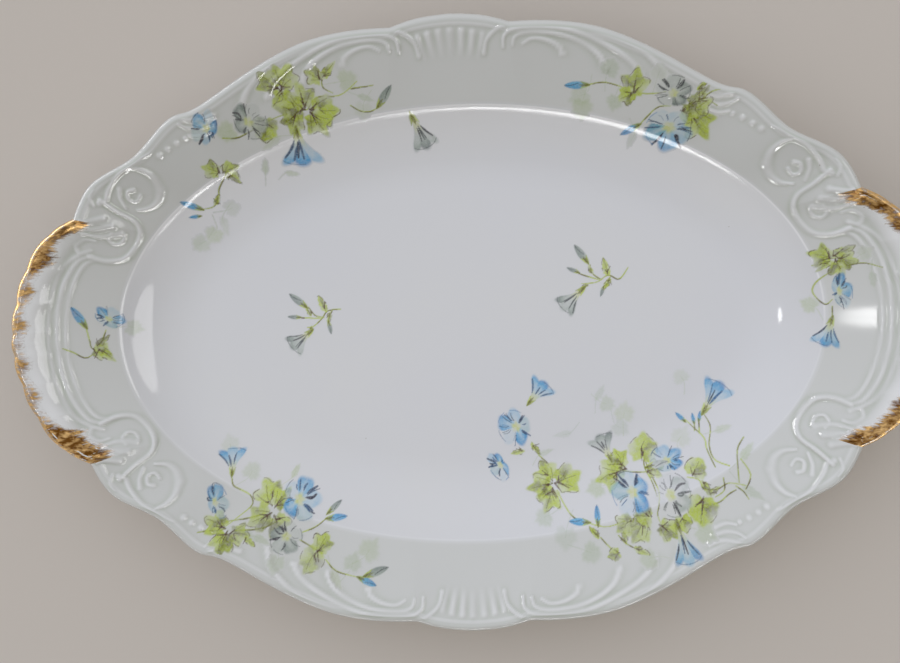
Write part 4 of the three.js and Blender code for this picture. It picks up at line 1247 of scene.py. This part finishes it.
# Each print has its parts in the order they are painted: faint leaves behind it, stems as points in
# plan, leaves and blooms. Leaves and blooms have their place in plan in millimetres, their size, their
# heading in degrees and their look, and blooms have their kind before that.
PRINTS = {
    "spray_upper_left": SimpleNamespace(slot="flower_print", shade=(
        (-110, 53, 10, -80), (-113, 48, 9, -120), (-118, 43, 9, -150), (-88, 72, 8, 80),
        (-79, 72, 7, -10), (-97, 92, 10, 200), (-50, 110, 10, 10), (-42, 104, 8, -20),
        (-79, 88, 11, 215), (-40, 101, 9, -100), (-108, 56, 8, 20),
    ), stem=(
        ((-103, 88), (-97, 88), (-92, 90), (-84, 94), (-76, 97), (-65, 99)),
        ((-65, 99), (-60, 104), (-50, 104.5), (-42, 110)),
        ((-57, 112), (-57, 108), (-53, 105.5)),
        ((-46, 100), (-42, 97.5), (-38, 97), (-34, 98.5)),
        ((-45, 107), (-40, 107.5), (-35, 108)),
        ((-105, 72), (-109, 66), (-110, 62), (-113, 58), (-118, 57)),
        ((-76, 108), (-72, 102), (-67, 99)),
    ), leaf=(
        (-76, 108, 12, 140, "ivy", 0.35), (-75, 108, 13, 65, "ivy", 0.2),
        (-75, 108, 11, -85, "ivy", 0.15), (-66, 99, 15, 172, "ivy", 0.5),
        (-66, 99, 13, 98, "ivy", 0.25), (-64, 99, 15, -5, "ivy", 0.15),
        (-64, 98, 13, -58, "ivy", 0.15), (-70, 98, 11, -112, "ivy", 0.5),
        (-84, 96, 12, -95, "heart", 0.7), (-57, 112, 10, 45, "slim", 0.15),
        (-57, 111, 9, 150, "ivy", 0.2), (-107, 73, 9, 155, "ivy", 0.3),
        (-106, 73, 9, 20, "ivy", 0.3), (-104, 73, 8, -45, "slim", 0.35),
        (-112, 59, 6, 60, "slim", 0.3),
    ), bloom=(
        ("flower", -90, 95, 18, 20, 0.85, "grey"), ("flower", -110, 93, 17, 150, 0.68, "blue"),
        ("trumpet", -71, 91, 15, -88, 25, "blue"), ("trumpet", -20, 95, 15, -68, 16, "grey"),
        ("bud", -34, 99, 11, 52, "grey"), ("bud", -118, 57, 9, 155, "blue"),
        ("bud", -119, 54, 5, 185, "blue"),
    )),
    "spray_upper_right": SimpleNamespace(slot="flower_print", shade=(
        (58, 101, 10, 205), (56, 98, 10, -100), (78, 83, 9, -115), (66, 107, 9, 60),
        (105, 97, 8, 10), (87, 104, 8, 70), (70, 99, 8, -100),
    ), stem=(
        ((57, 103.5), (64, 104.5), (70, 103), (77, 100)),
        ((80, 86), (84, 90), (88, 93), (93, 93)),
        ((80, 99), (86, 98.5), (91, 99)),
        ((100, 93), (105, 95), (110, 98), (114, 98.5)),
        ((96, 95), (102, 91), (108, 94), (112, 92)),
    ), leaf=(
        (77, 98, 13, 78, "ivy", 0.3), (78, 100, 9, 205, "ivy", 0.3), (101, 90, 15, -55, "ivy", 0.1),
        (100, 92, 12, 15, "ivy", 0.5), (104, 94, 9, 55, "slim", 0.5), (104, 99, 6, 42, "slim", 0.1),
        (97, 91, 9, -20, "ivy", 0.6),
    ), bloom=(
        ("flower", 94, 99, 16, 90, 0.9, "grey"), ("flower", 92, 83, 22, 250, 0.85, "blue"),
        ("bud", 58, 103.7, 10, 178, "blue"), ("bud", 80, 86, 9, 205, "blue"),
    )),
    "spray_left_handle": SimpleNamespace(slot="flower_print", shade=(
        (-156, 5, 8, -20),
    ), stem=(
        ((-172, 6), (-171, 0), (-170, -4), (-165, -6)),
        ((-182, -3), (-178, -5), (-173, -8), (-169, -6)),
        ((-164, 4), (-166, -1), (-168, -4)),
    ), leaf=(
        (-170, -4, 9, -20, "ivy", 0.3), (-168, -4, 11, -42, "slim", 0.2),
        (-168, -3, 8, 42, "slim", 0.75),
    ), bloom=(
        ("flower", -162, 10, 14, 60, 0.72, "blue"), ("bud", -172, 6, 11, 118, "blue"),
    )),
    "spray_right_handle": SimpleNamespace(slot="flower_print", shade=(
        (155, 3, 8, 150), (176, 19, 8, -80), (171, 26, 7, 30),
    ), stem=(
        ((153, 22), (160, 23), (166, 22), (173, 23), (180, 21)),
        ((160, 19), (155, 15), (153.5, 10), (158, 5), (161, 7)),
        ((161, 4), (161, -2)),
    ), leaf=(
        (161, 25, 11, 165, "ivy", 0.2), (161, 26, 11, 28, "slim", 0.5),
        (162, 25, 10, -70, "ivy", 0.2), (163, 25, 9, -10, "ivy", 0.3),
        (160, 24, 8, 220, "slim", 0.3),
    ), bloom=(
        ("flower", 165, 11, 17, 10, 0.5, "blue"), ("trumpet", 161, -1, 12, -105, 16, "blue"),
    )),
    "spray_lower_left": SimpleNamespace(slot="flower_print", shade=(
        (-104, -68, 9, 60), (-99, -92, 9, -30), (-64, -109, 10, -60), (-84, -69, 8, 60),
        (-56, -109, 9, 70), (-50, -104, 11, 50), (-88, -101, 9, -110), (-104, -89, 9, -40),
        (-112, -56, 9, 100),
    ), stem=(
        ((-111, -66), (-110, -70), (-107, -72), (-102, -75), (-101, -79), (-106, -83), (-112, -87)),
        ((-124, -88.5), (-118, -88), (-112, -88)),
        ((-111, -85), (-100, -84), (-93, -82)),
        ((-108, -89), (-96, -89), (-88, -86)),
        ((-78, -92), (-72, -90), (-67, -86.5)),
        ((-79, -95), (-74, -98), (-71, -100)),
        ((-67, -104), (-62, -109), (-52, -112)),
    ), leaf=(
        (-112, -88, 12, 150, "ivy", 0.3), (-111, -89, 12, -112, "ivy", 0.5),
        (-110, -90, 10, -10, "ivy", 0.4), (-103, -92, 7, -45, "slim", 0.2),
        (-92, -80, 14, 112, "ivy", 0.15), (-91, -81, 11, 50, "ivy", 0.2),
        (-92, -83, 13, 200, "ivy", 0.45), (-91, -84, 12, -60, "ivy", 0.5),
        (-71, -101, 11, 60, "ivy", 0.25), (-71, -100, 12, -122, "heart", 0.2),
    ), bloom=(
        ("trumpet", -111, -66, 11, 92, 17, "blue"), ("flower", -116, -76, 18, 20, 0.5, "blue"),
        ("flower", -85, -94, 16, -90, 0.95, "grey"), ("flower", -79, -78, 21, 20, 0.85, "blue"),
        ("bud", -67, -87, 9, 2, "blue"), ("bud", -67, -85, 8, 40, "grey"),
        ("bud", -52, -112, 9, -25, "blue"), ("bud", -49, -111.5, 11, 17, "grey"),
    )),
    "spray_lower_right": SimpleNamespace(slot="flower_print", shade=(
        (58, -37, 9, 60), (60, -38, 8, -20), (46, -52, 9, 190), (70, -47, 10, 80),
        (66, -48, 9, -40), (94, -58, 10, 60), (36, -88, 9, 200), (43, -93, 11, -100),
        (50, -102, 10, -20), (121, -63, 10, 50), (121, -74, 11, -30), (111, -52, 9, 20),
        (60, -76, 9, 200), (82, -104, 9, 200), (100, -92, 10, -20), (31, -62, 8, 20),
        (98, -30, 8, 120),
    ), stem=(
        ((28, -56), (31, -62), (35, -66), (37, -71)),
        ((39, -78), (42, -84), (46, -89), (52, -91), (61, -92.5), (69, -90)),
        ((58, -97), (62, -101), (66, -103)),
        ((66, -96), (69, -99), (73, -101)),
        ((79, -62), (79, -68), (82, -74), (84, -80)),
        ((79, -63), (80, -67), (82.7, -73), (84.8, -78), (84.5, -83), (83.6, -87), (85, -91)),
        ((97.6, -71.6), (102.6, -72.4), (104.2, -75.7), (110, -75.7), (115, -73), (122, -73.5)),
        ((123, -54), (120, -59), (119.5, -66), (119.5, -72.5)),
        ((101, -82.5), (106.7, -82), (111, -80.7), (115, -77.3), (118, -75.5)),
        ((121, -63), (124.5, -69), (122, -75)),
        ((118, -74), (121, -76), (123, -79)),
        ((110, -67), (107, -60), (106, -55), (101, -50), (98, -47)),
        ((116, -66), (110, -64), (108, -58), (109, -50), (106, -44)),
        ((102, -52), (102, -48)),
        ((104, -53), (104, -47)),
        ((113, -71), (113, -76), (109, -79)),
        ((80, -70), (72, -70), (64, -68)),
    ), leaf=(
        (24, -60, 7, 190, "slim", 0.3), (37, -74, 12, 122, "ivy", 0.25),
        (37, -75, 13, 192, "ivy", 0.25), (38, -75, 15, 20, "ivy", 0.2),
        (37, -77, 12, -110, "ivy", 0.35), (78, -65, 14, 82, "heart", 0.15),
        (71, -69, 13, 165, "ivy", 0.35), (69, -68, 10, 112, "ivy", 0.3),
        (68, -70, 13, 202, "ivy", 0.1), (80, -70, 9, 20, "ivy", 0.4),
        (100, -71, 10, 62, "heart", 0.3), (73, -89, 11, 215, "ivy", 0.2),
        (78, -89, 13, -122, "ivy", 0.25), (84, -91, 11, -28, "ivy", 0.3),
        (94, -87, 8, -75, "heart", 0.3), (81, -88, 9, 175, "heart", 0.4),
        (104, -79, 14, -100, "heart", 0.15), (57, -97, 7, 130, "slim", 0.2),
        (66, -103, 6, 200, "heart", 0.4), (73, -101, 8, -20, "slim", 0.2),
        (69, -99, 6, 100, "slim", 0.3), (104, -73, 8, -60, "slim", 0.5),
        (107, -78, 6, 40, "slim", 0.5), (28, -57, 7, -50, "slim", 0.4),
    ), bloom=(
        ("flower", 89, -64, 16, 90, 0.8, "blue"), ("trumpet", 64, -65, 12, 115, 17, "grey"),
        ("trumpet", 27, -38, 12, 50, 18, "blue"), ("flower", 20, -49, 19, 200, 0.85, "blue"),
        ("flower", 12, -67, 16, 210, 0.55, "blue"), ("flower", 91, -79, 20, 0, 0.85, "white"),
        ("flower", 72, -79, 21, 200, 0.85, "blue"), ("bud", 53, -91, 9, 178, "blue"),
        ("bud", 57, -92, 8, 92, "blue"), ("bud", 98, -48, 6, 135, "blue"),
        ("bud", 102, -49, 5, 100, "blue"), ("bud", 104, -48, 5, 80, "blue"),
        ("trumpet", 106, -44, 15, 58, 20, "blue"), ("trumpet", 92, -90, 16, -74, 17, "blue"),
        ("bud", 80, -68, 10, 15, "white"),
    )),
    "sprig_well_left": SimpleNamespace(slot="sprig_print", shade=(), stem=(
        ((-58, 8.5), (-64, 8), (-67, 4.5), (-71, 1), (-74, 0.5)),
        ((-66, 5), (-70, 6), (-73, 10)),
        ((-67, 4.5), (-74, 5), (-79, 5.5)),
        ((-62, 8), (-64, 4), (-63, 1)),
    ), leaf=(
        (-65, 8, 9, 115, "slim", 0.15), (-63, 7, 6, -105, "slim", 0.3),
        (-72, 1, 4, -100, "slim", 0.5), (-72, 6, 5, 120, "slim", 0.4),
    ), bloom=(
        ("bud", -74, 10, 10, 140, "grey"), ("bud", -77, 5.3, 6, 175, "grey"),
        ("bud", -64, 3, 6, -80, "grey"), ("trumpet", -72, -1, 12, 218, 15, "grey"),
    )),
    "sprig_well_right": SimpleNamespace(slot="sprig_print", shade=(), stem=(
        ((74, 23), (70, 18), (65, 20), (60, 17), (53, 16.5)),
        ((62, 18), (58, 21), (57, 25)),
        ((61, 18), (55, 20), (50, 22)),
        ((66, 19), (63, 16)),
    ), leaf=(
        (65, 20, 9, 105, "slim", 0.1), (66, 18, 6, -125, "slim", 0.3),
        (56, 16, 4, 200, "slim", 0.5), (58, 21, 5, 115, "slim", 0.4),
    ), bloom=(
        ("bud", 56, 26, 10, 125, "grey"), ("bud", 52, 21.5, 6, 155, "grey"),
        ("bud", 63, 15, 5, -110, "grey"), ("trumpet", 54, 14.5, 13, 222, 15, "grey"),
    )),
}


class PLATTER_OT_lay_prints(bpy.types.Operator):
    """Draw the flower prints and lay them on the glaze"""

    bl_idname = "platter.lay_prints"
    bl_label = "Lay the prints"

    def execute(self, context):
        form = in_millimetres(context.scene.platter_sizes)
        colours = context.scene.platter_colours
        material = print_enamel(colours)
        glaze = bpy.data.objects["glazed_body"]
        for seed, (node, layout) in enumerate(PRINTS.items()):
            places = [look[:2] for look in layout.shade + layout.leaf]
            places = np.array(places + [look[1:3] for look in layout.bloom])
            sheet = Sheet(colours, places.min(axis=0) - PRINT_MARGIN,
                          places.max(axis=0) + PRINT_MARGIN, seed)
            for look in layout.shade:
                sheet.shade(*look)
            for knots in layout.stem:
                sheet.stem(knots)
            for look in layout.leaf:
                sheet.leaf(*look)
            for kind, *look in layout.bloom:
                getattr(sheet, kind)(*look)
            sheet.trim(form)
            piece = sheet.make_piece(f"{node}_print", glaze)
            place_piece(piece, material, node)
        return {"FINISHED"}


# The stage

# The photo's view, in metres, degrees and, for its lens, millimetres
CAMERA_PLACE = (0.04764, 0.06296, 0.60186)
CAMERA_TURN = (-6.60135, 5.08454, -2.38542)
CAMERA_LENS = 52.0
CAMERA_SENSOR = 36.0
CAMERA_NEAR = 0.01
FLOOR_SIZE = 40.0
# The sky is brightest on one side and dimmest on the other, with a tint for each
SKY_SIDE = (-0.3, 0.5, 0.812)
SKY_DIM = SimpleNamespace(facing=-0.1, glow=0.35, tint="#e4ddd0")
SKY_BRIGHT = SimpleNamespace(facing=1.0, glow=1.125, tint="#eaedf6")
# Panels for gloss: place, the place that they face, width, height, brightness and roll in degrees.
# The front and corner panels lie low, so that they draw a line of light along the shoulder.
PANELS = {
    "side_window": ((0.87, -0.1, 0.99), (0.0, 0.0, 0.0), 1.25, 0.5, 2.4, 0.0),
    "small_window": ((-0.551, -0.136, 1.158), (0.178, 0.003, 0.036), 0.1, 0.1, 10.0, 0.0),
    "low_window": ((-1.85, 0.95, 0.42), (0.0, 0.0, 0.0), 2.4, 0.48, 7.0, 0.0),
    "front_window": ((0.0, -2.0, 0.42), (0.0, 0.0, 0.0), 6.0, 0.12, 10.0, 0.0),
    "corner_window": ((0.78, -1.752, 0.593), (0.0, 0.0, 0.025), 2.3, 0.12, 10.0, 13.8),
}


def add_panel_light(name, place, aim, width, height, brightness, roll):
    """A soft panel that only gives gloss, and shows this bright in a mirror, where 1 is white."""
    bpy.ops.object.light_add(type="AREA", location=place)
    lamp = bpy.context.object
    lamp.name = name
    lamp.data.shape = "ELLIPSE"
    lamp.data.size = width
    lamp.data.size_y = height
    lamp.data.energy = math.pi * width * height * brightness
    level = (Vector(aim) - Vector(place)).to_track_quat("-Z", "Y")
    lamp.rotation_euler = (level @ Quaternion((0, 0, 1), math.radians(roll))).to_euler()
    lamp.visible_diffuse = False
    lamp.visible_camera = False


class PLATTER_OT_set_stage(bpy.types.Operator):
    """Set the floor, lights and camera"""

    bl_idname = "platter.set_stage"
    bl_label = "Set the stage"

    def execute(self, context):
        scene = context.scene
        bpy.ops.object.select_all(action="DESELECT")
        bpy.ops.mesh.primitive_plane_add(size=FLOOR_SIZE, location=(0, 0, FOOT_LOW.z))
        table = bpy.context.object
        table.name = "table"
        material, tree, shader = start_material("plain_table")
        fill_sockets(tree, shader, {
            "Base Color": scene.platter_colours.floor, "Roughness": 0.9, "Specular IOR Level": 0.0})
        table.data.materials.append(material)
        world = bpy.data.worlds.new("studio")
        world.use_nodes = True
        tree = world.node_tree
        sky = add_node(tree, "ShaderNodeTexCoord")
        facing = add_node(tree, "ShaderNodeVectorMath", {
            0: sky.outputs["Generated"], 1: SKY_SIDE}, operation="DOT_PRODUCT")
        share = add_node(tree, "ShaderNodeMapRange", {
            "Value": facing.outputs["Value"], "From Min": SKY_DIM.facing,
            "From Max": SKY_BRIGHT.facing,
        }, interpolation_type="SMOOTHSTEP")
        glow = add_node(tree, "ShaderNodeMapRange", {
            "Value": share.outputs["Result"], "To Min": SKY_DIM.glow, "To Max": SKY_BRIGHT.glow})
        tint = add_node(tree, "ShaderNodeMix", {
            FACTOR: share.outputs["Result"], FIRST: linear(SKY_DIM.tint),
            SECOND: linear(SKY_BRIGHT.tint),
        }, data_type="RGBA")
        fill_sockets(tree, tree.nodes["Background"], {
            "Color": tint.outputs[RESULT], "Strength": glow.outputs["Result"]})
        scene.world = world
        for name, panel in PANELS.items():
            add_panel_light(name, *panel)
        turn = [math.radians(angle) for angle in CAMERA_TURN]
        bpy.ops.object.camera_add(location=CAMERA_PLACE, rotation=turn)
        camera = bpy.context.object
        camera.name = "photo_view"
        camera.data.lens = CAMERA_LENS
        camera.data.sensor_width = CAMERA_SENSOR
        camera.data.clip_start = CAMERA_NEAR
        scene.camera = camera
        scene.view_settings.view_transform = "Standard"
        return {"FINISHED"}


class PLATTER_PT_maker(bpy.types.Panel):
    """Sizes, colours and making steps of the platter"""

    bl_idname = "PLATTER_PT_maker"
    bl_label = "Oval serving platter"
    bl_space_type = "VIEW_3D"
    bl_region_type = "UI"
    bl_category = "Platter"

    def draw(self, context):
        for group in (context.scene.platter_sizes, context.scene.platter_colours):
            box = self.layout.box()
            for name in type(group).__annotations__:
                box.prop(group, name)
        for operator in OPERATORS:
            self.layout.operator(operator.bl_idname)


OPERATORS = (
    PLATTER_OT_mould_dish,
    PLATTER_OT_turn_foot,
    PLATTER_OT_brush_gold,
    PLATTER_OT_lay_prints,
    PLATTER_OT_set_stage,
)
CLASSES = (PlatterSizes, PlatterColours, *OPERATORS, PLATTER_PT_maker)


def register():
    for kind in CLASSES:
        bpy.utils.register_class(kind)
    bpy.types.Scene.platter_sizes = bpy.props.PointerProperty(type=PlatterSizes)
    bpy.types.Scene.platter_colours = bpy.props.PointerProperty(type=PlatterColours)


def unregister():
    del bpy.types.Scene.platter_colours
    del bpy.types.Scene.platter_sizes
    for kind in reversed(CLASSES):
        bpy.utils.unregister_class(kind)


def main():
    register()
    bpy.ops.platter.mould_dish()
    bpy.ops.platter.turn_foot()
    bpy.ops.platter.brush_gold()
    bpy.ops.platter.lay_prints()
    bpy.ops.platter.set_stage()


if __name__ == "__main__":
    main()
